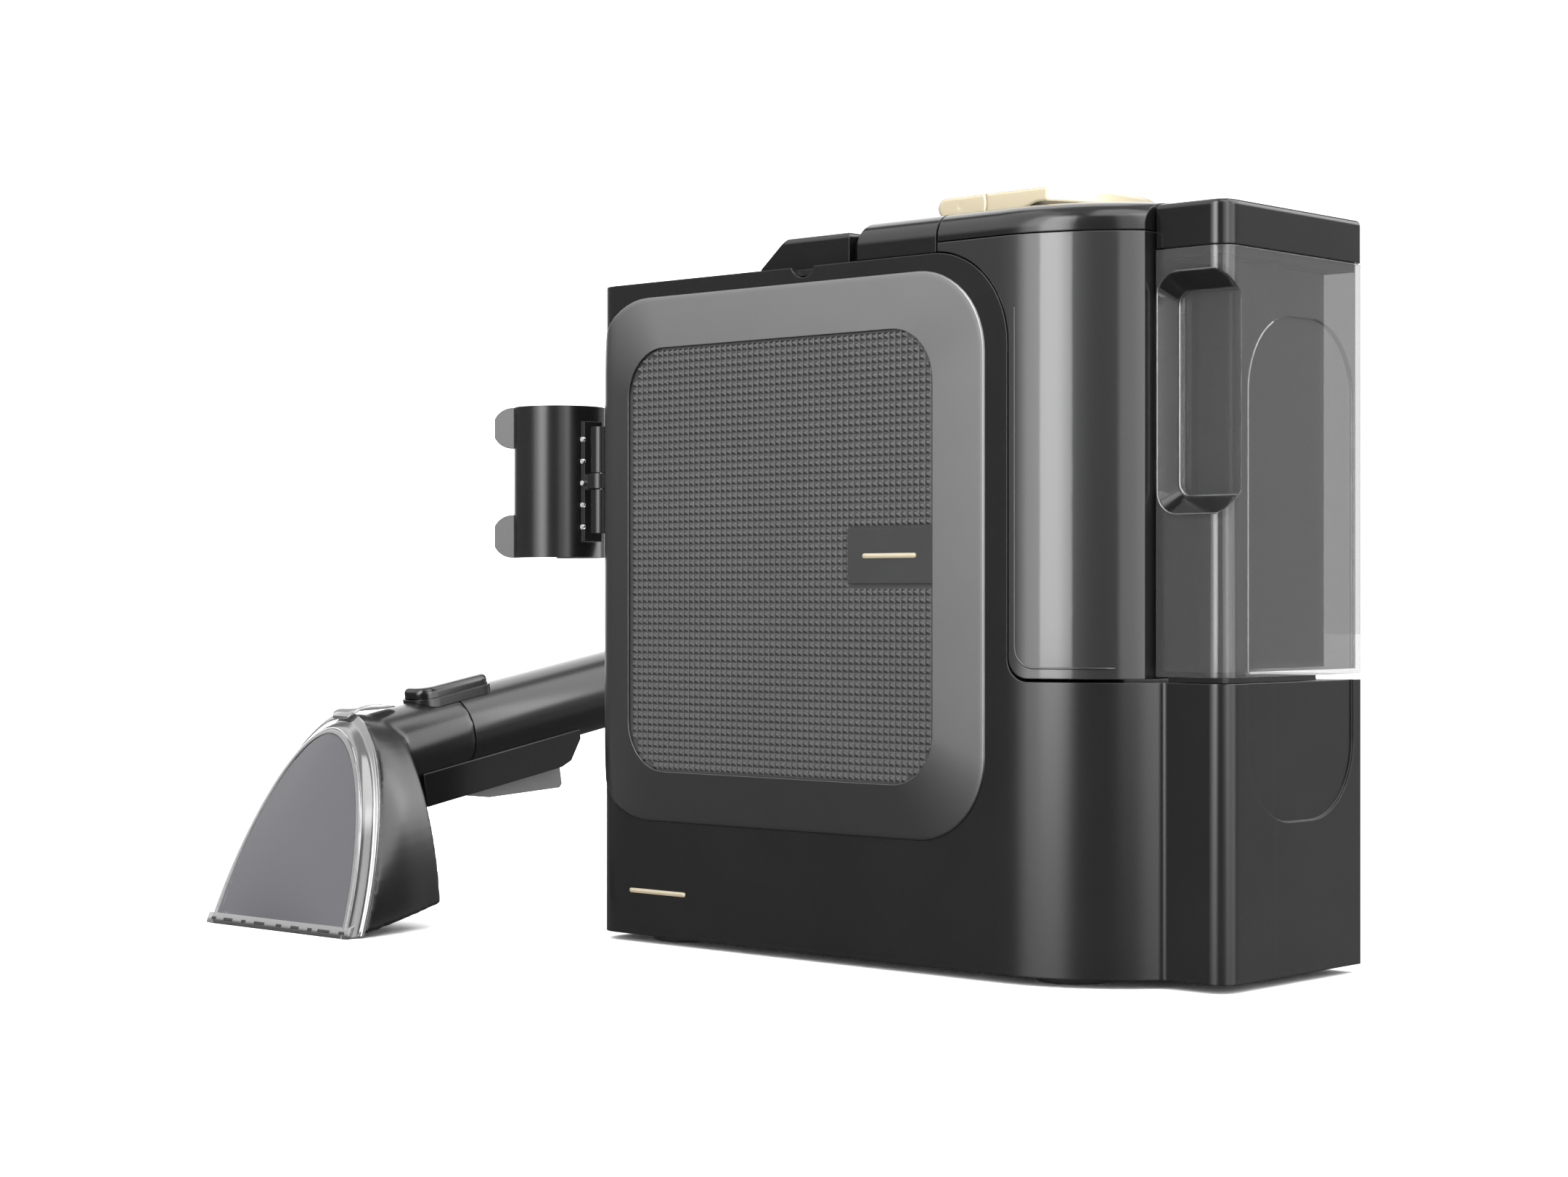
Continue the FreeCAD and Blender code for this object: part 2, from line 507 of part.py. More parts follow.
def hose_and_cord_ports():
    flange = rod("socket_flange", "Y", ("socket_across", "half_deep", "socket_high"), "socket_outer + 4", 3)
    neck = rod("socket_neck", "Y", ("socket_across", "half_deep + 3 - socket_long", "socket_high"),
               "socket_outer - 0.2", "socket_long")
    bore = rod("socket_bore", "Y", ("socket_across", 0, "socket_high"), "socket_inner", 100)
    node("hose_socket", cut("hose_socket_body", fuse("socket_solid", flange, neck), bore))
    run = pipe("suction_run", "Y", ("socket_across", 30, "socket_high"), "duct_outer", "duct_inner",
               "half_deep + 3 - socket_long - 30")
    cross = pipe("suction_cross", "X", ("socket_across + 30", 0, "socket_high"), "duct_outer", "duct_inner",
                 "bay_left - 2.5 - socket_across - 30")
    bend = elbow("suction_elbow", 30, FreeCAD.Rotation(V(0, 0, 1), 180),
                 ("socket_across + 30", 30, "socket_high"))
    node("suction_pipe", fuse("suction_pipe_body", run, bend, cross))
    flange = rod("gland_flange", "Y", ("cord_across", "half_deep", "cord_high"), 11, 2.5)
    neck = rod("gland_neck", "Y", ("cord_across", "half_deep - 9", "cord_high"), 7.8, 9.5)
    bore = rod("gland_bore", "Y", ("cord_across", 40, "cord_high"), 4, 60)
    node("cord_gland", cut("cord_gland_body", fuse("gland_solid", flange, neck), bore))


# ---------------------------------------------------------------- dirty water tank
def dirty_solid(name, inset, floor, top, gap):
    """The tank's outer or inner shape: a box behind the slab and a bulge that follows the housing's front."""
    rear = block(name + "_rear",
                 (f"dirty_left + {inset}", f"-half_deep + skin + flange + 1 + {inset}", floor),
                 (f"dirty_right - {inset}", f"dirty_back - {inset}", top))
    trim = prism(name + "_plan", "Z", dirty_plan(inset, S.bulge_middle + 0.01), floor, top)
    side = outline([(S.dirty_left + inset, 500), (S.dirty_left + inset, 300),
                    *slab_gap_arcs(gap + inset), (300, S.deck_top + 1.5 + inset), (300, 500)])
    bulge = common(name + "_bulge", trim, prism(name + "_side", "Y", side, "-half_deep - 5", "0"))
    return common(name + "_kept", trim, fuse(name + "_joined", rear, bulge))


def slab_gap_arcs(gap):
    """The slab's round corner and the window's small corner, set off by gap, as arcs seen from the front."""
    corner_x, corner_z = S.slab_right - S.slab_corner, S.slab_top - S.slab_corner
    big = S.slab_corner + gap
    first = math.degrees(math.acos((S.dirty_left + gap - S.dirty_gap - corner_x) / big))
    small = S.window_corner - gap
    small_high = S.deck_top + 1.5 - S.dirty_gap + S.window_corner
    return [(corner_x, corner_z, big, first, 0),
            (S.slab_right + S.window_corner, small_high, small, 180, 270)]


def dirty_tank():
    outer = dirty_solid("dirty_outer", 0, "dirty_floor", "dirty_rim", S.dirty_gap)
    inner = dirty_solid("dirty_inner", S.dirty_wall, "dirty_floor + dirty_wall", "dirty_rim + 1", S.dirty_gap)
    holes = [rod("tank_air_hole", "X", (30, 0, "duct_high"), 11.8, 20),
             rod("tank_dirt_hole", "X", (30, 0, "socket_high"), 11.8, 20)]
    node("dirty_tank_shell", cut("dirty_tank_body", outer, inner, *holes))

    plate = prism("lid_plan", "Z", dirty_plan(0, S.bulge_middle), "lid_low", "lid_top")

    def front_edges(edge):
        box = edge.BoundBox
        return at_height(S.lid_top)(edge) and box.YMin < -50 and box.XMax > 60 and box.YMax < 0

    rounded = fillet("lid_rounded", plate, S.lid_round, front_edges)
    hollow = prism("lid_hollow", "Z", dirty_plan(S.lid_floor, S.bulge_middle), "lid_low - 1", "lid_top - 9.5")
    node("dirty_tank_lid", cut("dirty_tank_lid_body", rounded, hollow))
    outside = prism("seal_out", "Z", dirty_plan(S.dirty_wall + 0.3, S.bulge_middle), "lid_low - 4", "lid_low")
    inside = prism("seal_in", "Z", dirty_plan(S.dirty_wall + 3, S.bulge_middle), "lid_low - 5", "lid_low + 1")
    kept = block("seal_region", (0, "-half_deep + skin + flange + 3.6", 300), (300, 100, 400))
    node("lid_seal", common("lid_seal_body", cut("seal_ring", outside, inside), kept))
    separator_and_float()


def separator_and_float():
    """The elbow that turns the dirty water down, and the float that shuts the suction off when it is full."""
    way_in = rod("separator_in", "X", ("dirty_left + dirty_wall", 0, "socket_high"), 14, 36)
    way_up = rod("separator_up", "Z", ("separator_across", 0, "socket_high - 18"), "separator_round", 34)
    bore = rod("separator_bore", "X", (40, 0, "socket_high"), 11.6, 41)
    well = rod("separator_well", "Z", ("separator_across", 0, "socket_high - 40"), "separator_round - 3", 53)
    node("separator_tube", cut("separator_body", fuse("separator_solid", way_in, way_up), bore, well))

    cage_low, ring_thick, bar_circle = 259, 3.4, S.cage_round - 1.8
    bars = []
    for i, angle in enumerate((30, 150, 270)):
        turn = math.radians(angle)
        foot = (S.float_across + bar_circle * math.cos(turn), S.float_along + bar_circle * math.sin(turn),
                cage_low + 3)
        bars.append(rod(f"cage_bar_{i}", "Z", foot, 1.3, 62))
    axis = ("float_across", "float_along")
    rings = [pipe("cage_ring_low", "Z", (*axis, cage_low), "cage_round", "cage_round - 6", ring_thick),
             pipe("cage_ring_high", "Z", (*axis, "lid_low - 5"), "cage_round", "cage_round - 6", 8.5)]
    node("float_cage", fuse("float_cage_body", *bars, *rings))
    ball = rod("float_body", "Z", (*axis, cage_low + ring_thick + 0.6), "cage_round - 4", 24)
    node("float_ball", fillet("float_round", ball, 6, lambda edge: True))


def carry_handle():
    """The fixed hinge block and the bail that swings up from it, over the dirty tank's lid."""
    low, high = "handle_low", "handle_low + handle_thick"
    level = S.handle_low + S.handle_thick / 2
    near, far = S.handle_near, S.handle_far
    middle = (near + far) / 2
    half = (far - near) / 2
    skin, play, pin_inset, pin_long = 3.6, 0.4, 0.8, 16
    sides = ((near, near + S.arm_wide), (far - S.arm_wide, far))
    lift = math.degrees(math.asin(S.handle_thick / 2 / S.hinge_round))
    nose = outline([(S.block_left + 4.4, S.handle_low + 4.5, 4.4, 90, 270),
                    (S.hinge_across, level, S.hinge_round, -lift, lift)])
    bar = prism("handle_bar", "Y", nose, "handle_near", "handle_far")
    slots, pins, tongues = [], [], []
    for i, (y0, y1) in enumerate(sides):
        outer_0, outer_1 = (y0 + skin, y1 + play) if i == 0 else (y0 - play, y1 - skin)
        slots.append(block(f"tongue_slot_{i}", ("hinge_across - 5.4", outer_0, "handle_low - 1"),
                           (80, outer_1, "lid_top + 20")))
        pin_start = y0 + pin_inset if i == 0 else y1 - pin_inset - pin_long
        pins.append(rod(f"handle_pin_{i}", "Y", ("hinge_across", pin_start, level), "pin_round", pin_long))
        shape = outline([(S.hinge_across, level, S.handle_thick / 2, 90, 270),
                         (S.hinge_across + 18, S.handle_low),
                         (S.hinge_across + 18, S.handle_low + S.handle_thick)])
        tongue_near, tongue_far = max(y0, near + skin + play), min(y1, far - skin - play)
        tongues.append(prism(f"tongue_{i}", "Y", shape, tongue_near, tongue_far))
    holes = rod("block_pin_hole", "Y", ("hinge_across", near + pin_inset, level), "pin_round",
                far - near - 2 * pin_inset)
    node("handle_block", cut("handle_block_body", bar, *slots, holes))
    node("handle_pins", fuse("handle_pins_group", *pins))

    bow = S.bail_bow
    inner_bow = bow - S.arm_wide - 1
    centre = S.bail_right - bow
    swing = math.degrees(math.asin(half / bow))
    inner_half = half - S.arm_wide
    inner_swing = math.degrees(math.asin(inner_half / inner_bow))
    start = S.hinge_across + 3
    bail = outline([(start, near), (centre, middle, bow, -swing, swing), (start, far)])
    frame = prism("bail_outer", "Z", bail, low, high)
    hand_room = outline([(start - 5, near + S.arm_wide),
                         (centre, middle, inner_bow, -inner_swing, inner_swing),
                         (start - 5, far - S.arm_wide)])
    window = prism("bail_window", "Z", hand_room, "handle_low - 1", "lid_top + 20")
    relief = rod("bail_relief", "Y", ("hinge_across", near - 1, level), "hinge_round + 0.3", far - near + 2)
    step = 2.7
    below = outline([(75, S.handle_low - 1), (76, S.handle_low), (85, S.handle_low + step),
                     (130, S.handle_low + step), (130, S.handle_low - 1)])
    undercut = prism("bail_undercut", "Y", below, near - 1, far + 1)
    arms = cut("bail_frame", frame, window, relief, undercut)
    bore = rod("tongue_bore", "Y", ("hinge_across", near, level), "pin_round + 0.05", far - near)
    node("carry_handle", cut("carry_handle_body", fuse("bail_solid", arms, *tongues), bore))


# ---------------------------------------------------------------- clean water tank
def grip(name, grow):
    """The finger pocket's form, open round the tank's front corner, with walls that slope in to its floor."""
    floor = S.block_front + S.grip_deep + grow
    mouth = S.block_front - 4
    wires = []
    for y, out in ((floor, grow), (mouth, grow + floor - mouth)):
        side, ends = grow + (out - grow) * S.grip_slope_side, grow + (out - grow) * S.grip_slope_ends
        shape = rectangle(S.grip_left - side, S.grip_low - ends, S.grip_right + side, S.grip_high + ends,
                          S.grip_corner + side)
        wire = Part.Wire(Part.__sortEdges__([edge.toShape() for edge in shape]))
        wire.Placement = FreeCAD.Placement(V(0, y, 0), PLANE["Y"])
        wires.append(wire)
    return loft(name, *wires)


def clean_tank():
    outer = prism("clean_outer", "Z", clean_plan(0), "clean_floor", "clean_rim")
    inner = prism("clean_inner", "Z", clean_plan(S.clean_wall), "clean_floor + clean_wall", "clean_rim + 1")

    pocket_wall = common("grip_wall", grip("grip_grown", S.clean_wall),
                         prism("clean_outer_again", "Z", clean_plan(0), "clean_floor", "clean_rim"))
    channel = end_channel("tank_channel", S.channel_high)
    mouth = rod("valve_hole", "Z", ("valve_across", "valve_along", 120), 6, 30)
    hollow = cut("clean_hollow", inner, pocket_wall)
    node("clean_tank_shell", cut("clean_tank_body", outer, hollow, grip("grip_pocket", 0), channel, mouth))

    cap = prism("cap_outer", "Z", clean_plan(0.2), "cap_low", "cap_top")
    rounded = fillet("cap_round", cap, 2.5, at_height(S.cap_top))
    cap_hollow = prism("cap_inner", "Z", clean_plan(3), "cap_low - 1", "cap_top - 3")
    node("clean_tank_cap", cut("cap_body", rounded, cap_hollow))
    outside = prism("cap_seal_out", "Z", clean_plan(S.clean_wall + 0.3), "cap_low - 4", "cap_low")
    inside = prism("cap_seal_in", "Z", clean_plan(S.clean_wall + 2.6), "cap_low - 5", "cap_low + 1")
    node("cap_seal", cut("cap_seal_body", outside, inside))
    detergent_bottle()
    outlet_valve()


def bottle_plan(inset):
    return rectangle(S.bottle_left + inset, S.bottle_near + inset, S.bottle_right - inset,
                     S.bottle_far - inset, S.bottle_corner - inset)


def detergent_bottle():
    outside = prism("bottle_outer", "Z", bottle_plan(0), "bottle_low", "bottle_high")
    room = prism("bottle_inner", "Z", bottle_plan(S.bottle_wall), "bottle_low + 2", "bottle_high + 2")
    rib_pitch = 13
    ribs = [rod(f"bottle_rib_{i}", "Z", ("bottle_right", f"bottle_near + {10 + rib_pitch * i}", "bottle_low + 4"),
                1.2, "bottle_high - bottle_low - 12") for i in range(5)]
    node("detergent_bottle", cut("bottle_body", fuse("bottle_ribbed", outside, *ribs), room))
    top = prism("bottle_top", "Z", bottle_plan(0), "bottle_high + 0.1", "bottle_high + 4")
    knob = rod("detergent_knob", "Z", ("(bottle_left + bottle_right) / 2", "(bottle_near + bottle_far) / 2",
                                       "bottle_high + 3"), 8, 5)
    node("detergent_cap", fuse("detergent_cap_body", top, knob))


def outlet_valve():
    """The spring valve under the tank: its seat in the floor, and the plunger that the deck pushes up."""
    axis = ("valve_across", "valve_along")
    flange = rod("valve_flange", "Z", (*axis, "clean_floor + clean_wall"), 9, 3)
    neck = rod("valve_neck", "Z", (*axis, "deck_top - 7"), 5.9, "clean_floor + clean_wall + 8 - deck_top")
    bore = rod("valve_bore", "Z", (*axis, 100), 3.06, 60)
    node("valve_body", cut("valve_body_shape", fuse("valve_solid", flange, neck), bore))
    stem = rod("plunger_stem", "Z", (*axis, "deck_top - 8.5"), 3, 25)
    head = rod("plunger_head", "Z", (*axis, "clean_floor + clean_wall + 3.1"), 6, 2.5)
    node("valve_plunger", fuse("valve_plunger_body", stem, head))


# ---------------------------------------------------------------- tool holder clip
def clip():
    centre = ("clip_across", "clip_along")
    plate = prism("clip_plate", "X", rectangle(-54, 192, -30, 263, 6), "-half_long - 3", "-half_long")
    arms, barrels = [], []
    pin_low, pin_high = 201, 254.5
    for i, (z0, z1) in enumerate(((pin_low, "knuckle_low - 0.4"), ("knuckle_high + 0.4", pin_high))):
        barrels.append(rod(f"fixed_knuckle_{i}", "Z", ("knuckle_across", "knuckle_along", z0),
                           "knuckle_round", f"({z1}) - ({z0})"))
        arms.append(block(f"fixed_arm_{i}", ("knuckle_across", "knuckle_along - 0.5", z0),
                          ("-half_long - 2.9", -36, z1)))
    bore = rod("fixed_bore", "Z", ("knuckle_across", "knuckle_along", 190), "clip_pin_round", 80)
    clear = rod("knuckle_clear", "Z", ("knuckle_across", "knuckle_along", "knuckle_low - 0.4"),
                "knuckle_round + 1.4", "knuckle_high - knuckle_low + 0.8")
    node("clip_mount", cut("clip_mount_body", fuse("clip_mount_solid", plate, *arms, *barrels), bore, clear))
    node("clip_pin", rod("clip_pin_body", "Z", ("knuckle_across", "knuckle_along", pin_low), "clip_pin_round",
                         pin_high - pin_low))

    gap = S.clip_half_open
    ring_edges = outline([(0, 0, S.clip_outer, -180 + gap, 180 - gap),
                          (0, 0, S.clip_inner, 180 - gap, -180 + gap)])
    ring = place(prism("clip_ring", "Z", ring_edges, "clip_low", "clip_high"), *centre, 0)
    ears = []
    tip = V(EAR_TIP, -21, 0)
    mouth = V(-math.cos(math.radians(gap)), -math.sin(math.radians(gap)), 0)
    root, out = mouth * S.clip_inner, mouth * S.clip_outer
    for name, side in (("near", 1), ("far", -1)):
        edges = outline([(root.x, side * root.y), (tip.x, side * (tip.y + 1.1)),
                         (tip.x + 0.9, side * (tip.y - 1)), (out.x + 3, side * (out.y - 2.2))])
        full = place(prism(f"ear_{name}", "Z", edges, "clip_low", "clip_high"), *centre, 0)
        mask = place(prism(f"ear_mask_{name}", "Y", ear_edge(), "-60", "60"), *centre, 0)
        ears.append(common(f"ear_kept_{name}", full, mask))
    web = block("clip_web", ("clip_across + clip_outer - 1.6", "knuckle_along", "knuckle_low"),
                ("knuckle_across", "knuckle_along + 7", "knuckle_high"))
    barrel = rod("moving_knuckle", "Z", ("knuckle_across", "knuckle_along", "knuckle_low"),
                 "knuckle_round + 1", "knuckle_high - knuckle_low")
    spine = block("clip_spine", ("clip_across + clip_outer - 1.4", "clip_along - 6", "clip_low + 8"),
                  ("clip_across + clip_outer + 1.6", "clip_along + 6", "clip_high - 8"))
    pin_bore = rod("moving_bore", "Z", ("knuckle_across", "knuckle_along", 190), "clip_pin_round + 0.05", 80)
    hollow = rod("clip_hollow", "Z", (*centre, 150), "clip_inner", 200)
    body = fuse("clip_solid", ring, *ears, web, barrel, spine)
    node("tool_clip", cut("tool_clip_body", body, pin_bore, hollow))
    nub_pitch = 11.1
    nubs = [rod(f"nub_{i}", "Y", ("clip_across + clip_outer + 0.9", "clip_along - 7.4",
                                  f"clip_low + {15.4 + nub_pitch * i}"), 1.3, 1.4) for i in range(5)]
    node("clip_nubs", fuse("clip_nubs_group", *nubs))


EAR_TIP = -26.2


def ear_edge():
    """The clip's edge seen from the front: two rounded ears with a notch between them."""
    low, high, r = S.clip_low, S.clip_high, 10
    notch, root = -15, -12
    return outline([(root, low), (EAR_TIP + r, low + r, r, 270, 180),
                    (EAR_TIP + r, S.clip_notch_low - r, r, 180, 90),
                    (notch, S.clip_notch_low), (notch, S.clip_notch_high),
                    (EAR_TIP + r, S.clip_notch_high + r, r, 270, 180), (EAR_TIP + r, high - r, r, 180, 90),
                    (root, high)])


# ---------------------------------------------------------------- hand tool, in its own tilted frame
TILT = FreeCAD.Rotation(V(1, 0, 0), S.tool_pitch)


def tilted(label, thing):
    """Stand a piece made in the tool's own frame (y back along the tube, z up from the lip)."""
    stand = FreeCAD.Placement(V(S.tool_across, S.tool_along, 0), TILT)
    doc.recompute()
    for axis in "xyz":
        thing.setExpression("Placement.Base." + axis, None)
    thing.Placement = stand.multiply(thing.Placement)
    return node(label, thing)


def arch_wire(half, high, depth, turn, foot=0.0):
    """The nozzle's arch as a closed wire, on a plane that leans back by turn degrees."""
    shape = [(1.0, 0.0), (0.955, 0.19), (0.88, 0.38), (0.765, 0.57), (0.59, 0.755), (0.35, 0.91), (0.0, 1.0)]
    slope = math.tan(math.radians(turn))
    right = [V(half * x, depth + high * z * slope, high * z) for x, z in shape]
    left = [V(-point.x, point.y, point.z) for point in reversed(right[:-1])]
    curve = Part.BSplineCurve()
    curve.interpolate(right + left)
    low_left, low_right = (V(side * half, depth + foot * slope, foot) for side in (-1, 1))
    corners = [left[-1], low_left, low_right, right[0]] if foot else [left[-1], right[0]]
    runs = [Part.LineSegment(p, q).toShape() for p, q in zip(corners, corners[1:])]
    return Part.Wire([curve.toShape(), *runs])


def hand_tool():
    lean, deep, wall = S.window_lean, S.window_deep, S.window_wall
    front_half, front_high, back_half, back_high = S.lip_half, S.arch_high, S.flange_half, S.flange_high
    outer = loft("window_outer", arch_wire(front_half, front_high, 0, lean),
                 arch_wire(back_half, back_high, deep, lean))
    inner = loft("window_inner", arch_wire(front_half - wall, front_high - wall, wall, lean, -4),
                 arch_wire(back_half - wall + 0.6, back_high - wall + 0.6, deep + 3, lean, -4))
    tab_side = outline([(60, 96.3), (65.2, 100), (82, 96.9), (93, 96.5), (93, 97.6),
                        (86, 99.4), (77, 102), (67, 103), (60, 99.8)])
    tab = prism("latch_tab", "X", tab_side, -9, 9)
    tilted("nozzle_window", fuse("nozzle_window_body", cut("window_shell", outer, inner), tab))

    front = deep + 0.25
    shoulder = loft("nozzle_shoulder", arch_wire(back_half - 0.6, back_high - 0.8, front, lean),
                    arch_wire(50, 94, 68, 10))
    neck = rod("nozzle_neck", "Y", (0, 62, "tube_axis"), "tube_round", "tube_joint - 62")
    way = rod("neck_way", "Y", (0, 40, "tube_axis - 2"), "tube_round - tube_wall - 2", "tube_joint - 30")
    hollow = loft("nozzle_hollow", arch_wire(back_half - 6, 60, front + 16, lean, -4),
                  arch_wire(44, 56, 62, 10, -4))
    comb_groove = block("comb_groove", ("-comb_half - 0.1", 5, -2),
                        ("comb_half + 0.1", 15.3, "comb_high + 0.1"))
    solid = fuse("nozzle_solid", shoulder, neck)
    tilted("nozzle_body", cut("nozzle_body_shape", solid, way, hollow, comb_groove))

    teeth = [block(f"lip_tooth_{i}", (x - 2.2, 11.2, 0), (x + 2.2, 15.2, 1))
             for i, x in enumerate(range(-42, 43, 12))]
    bar = block("lip_bar", ("-comb_half", 10.8, 1), ("comb_half", 15.2, "comb_high"))
    over = S.comb_high + 0.2
    behind_window = outline([(-20, -5), (front - 0.1, -5),
                             (front + 0.3 + over * math.tan(math.radians(lean)), over), (-20, over)])
    trim = prism("lip_trim", "X", behind_window, -60, 60)
    tilted("lip_comb", cut("lip_comb_body", fuse("lip_comb_solid", bar, *teeth), trim))
    tube_and_trigger()


def tube_and_trigger():
    tube = rod("tube_outside", "Y", (0, "tube_joint + 0.2", "tube_axis"), "tube_round",
               "tube_end - tube_joint - 0.2")
    bore = rod("tube_inside", "Y", (0, "tube_joint - 1", "tube_axis"), "tube_round - tube_wall", 200)
    slot = block("trigger_way", (-8, 134, "tube_axis - 30"), (8, 190, "tube_axis - 14"))
    tilted("handle_tube", cut("handle_tube_body", cut("grip_tube", tube, bore), slot))

    side = outline([(97, 42.5), (194.5, 42.5), (202, 44.5), (211, 55), (211, 62), (97, 62)])
    shape = prism("housing_side", "X", side, -15, 15)
    sunk = rod("housing_tube_way", "Y", (0, 50, "tube_axis"), "tube_round + 0.05", 250)
    well = block("trigger_well", (-9.4, 124, 30), (9.4, 200, 56.5))
    pin_way = rod("trigger_pin_way", "X", (-13, "trigger_along", "trigger_level"), "trigger_pin", 26)
    tilted("trigger_housing", cut("trigger_housing_body", shape, sunk, well, pin_way))
    lever = outline([(S.trigger_along, S.trigger_level, 3.9, 60, 250), (134.5, 40.6), (145, 36.4),
                     (196.3, 30.2), (198.4, 32), (198.4, 42), (160, 48.5)])
    lever_bore = rod("lever_bore", "X", (-20, "trigger_along", "trigger_level"), "trigger_pin + 0.05", 40)
    tilted("spray_trigger", cut("spray_trigger_body", prism("lever", "X", lever, -8.8, 8.8), lever_bore))
    pin = rod("trigger_pin_body", "X", (-13, "trigger_along", "trigger_level"), "trigger_pin", 26)
    tilted("trigger_pin", pin)
    button_and_cuff()


def button_plan(grow):
    """The release button's outline on top of the tube, grown all round."""
    half_wide, near, far, corner = 11, 108, 157, 9
    return rectangle(-half_wide - grow, near - grow, half_wide + grow, far + grow, corner + grow)


def button_and_cuff():
    top = 103
    pad = prism("button_pad", "Z", button_plan(0), top - 7, top)
    seat = rod("button_seat", "Y", (0, 50, "tube_axis"), "tube_round + 1.6", 250)
    base = prism("base_pad", "Z", button_plan(1.3), top - 15, top - 5.8)
    base_seat = rod("base_seat", "Y", (0, 50, "tube_axis"), "tube_round + 0.05", 250)
    base_well = prism("base_well", "Z", button_plan(0.3), top - 8.6, top + 7)
    tilted("button_base", cut("button_base", base, base_seat, base_well))
    pad_round = fillet("button_round", pad, 3, at_height(top))
    tilted("release_button", cut("release_button_body", pad_round, seat))

    cuff = rod("cuff_outside", "Y", (0, "tube_end + 0.2", "tube_axis"), "tube_round - 1.5",
               "cuff_end - tube_end - 0.2")
    cuff_bore = rod("cuff_inside", "Y", (0, "tube_end - 30", "tube_axis"), 15, 80)
    grooves = [pipe(f"cuff_groove_{i}", "Y", (0, f"tube_end + {5 + 6 * i}", "tube_axis"), "tube_round",
                    "tube_round - 3", 2) for i in range(4)]
    tilted("hose_cuff", cut("cuff_rings", cuff, cuff_bore, *grooves))
    jet_along = 34
    jet = rod("jet_body", "Z", (0, jet_along, -3), 5, 4)
    tilted("spray_jet", cut("jet_solid", jet, rod("jet_bore", "Z", (0, jet_along, -6), 1.2, 5.5)))


def check_and_write():
    doc.recompute()
    for thing in doc.Objects:
        bad = [word for word in thing.State if word in ("Invalid", "Error")]
        if bad:
            raise SystemExit(f"{thing.Name} is {bad}")
    names = [thing.Label for thing in NODES]
    if len(set(names)) != len(names) or len(names) > 60:
        raise SystemExit(f"{len(names)} nodes, {len(set(names))} names")
    for thing in NODES:
        shape = thing.Shape
        if shape.isNull() or not shape.isValid() or not shape.Solids:
            raise SystemExit(f"{thing.Label} has no valid solid")
    os.makedirs("parts", exist_ok=True)
    for thing in NODES:
        thing.Shape.exportStep(f"parts/{thing.Label}.step")
    print(len(NODES), "nodes written")


housing()
tank_bay()
top_covers()
front_panel()
works()
hose_and_cord_ports()
dirty_tank()
carry_handle()
clean_tank()
clip()
hand_tool()
check_and_write()
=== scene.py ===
"""Looks of a spot carpet cleaner: materials for the CAD pieces, and detailed meshes where CAD is plain.

Everything is in metres in the CAD frame: +Z up, tanks at +X, the textured front panel at -Y.
"""
import json
import math

import bmesh
import bpy
from mathutils import Matrix, Vector


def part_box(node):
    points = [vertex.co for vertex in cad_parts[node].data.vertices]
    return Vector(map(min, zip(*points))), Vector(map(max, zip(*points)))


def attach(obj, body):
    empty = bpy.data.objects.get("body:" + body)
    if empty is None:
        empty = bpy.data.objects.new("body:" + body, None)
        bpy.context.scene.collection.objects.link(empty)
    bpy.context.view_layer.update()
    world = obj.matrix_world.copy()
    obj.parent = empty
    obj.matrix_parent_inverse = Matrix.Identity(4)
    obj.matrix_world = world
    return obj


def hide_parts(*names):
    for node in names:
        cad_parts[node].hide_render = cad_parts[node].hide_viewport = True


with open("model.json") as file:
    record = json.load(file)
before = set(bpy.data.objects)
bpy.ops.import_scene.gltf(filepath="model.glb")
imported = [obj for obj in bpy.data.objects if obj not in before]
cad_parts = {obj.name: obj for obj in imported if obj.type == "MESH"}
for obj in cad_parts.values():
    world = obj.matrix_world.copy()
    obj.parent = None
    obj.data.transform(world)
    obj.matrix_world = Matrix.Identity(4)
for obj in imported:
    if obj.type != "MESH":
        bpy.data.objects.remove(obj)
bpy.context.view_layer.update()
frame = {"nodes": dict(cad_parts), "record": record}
MM = 0.001


# ---------------------------------------------------------------- node tree helpers
class Tree:
    """A small hand for building node trees: add nodes, link sockets, keep inputs readable."""

    def __init__(self, owner):
        owner.use_nodes = True
        self.nodes = owner.node_tree.nodes
        self.links = owner.node_tree.links
        self.nodes.clear()

    def add(self, kind, inputs=None, **settings):
        made = self.nodes.new(kind)
        for key, value in settings.items():
            setattr(made, key, value)
        for key, value in (inputs or {}).items():
            if isinstance(value, bpy.types.NodeSocket):
                self.links.new(value, made.inputs[key])
            else:
                made.inputs[key].default_value = value
        return made

    def math(self, operation, a, b=0.0):
        return self.add("ShaderNodeMath", {0: a, 1: b}, operation=operation).outputs[0]


def rgb(value, warm=0.0):
    """A grey in linear light, or one that leans a little to red (warm above 0) or to blue."""
    return (value * (1 + warm), value, value * (1 - warm), 1.0)


# ---------------------------------------------------------------- materials
MATERIALS = {}
PLASTIC_IOR = 1.5       # a wall has no refraction here, so the index is turned over where a ray leaves it
BEVEL_SAMPLES = 4


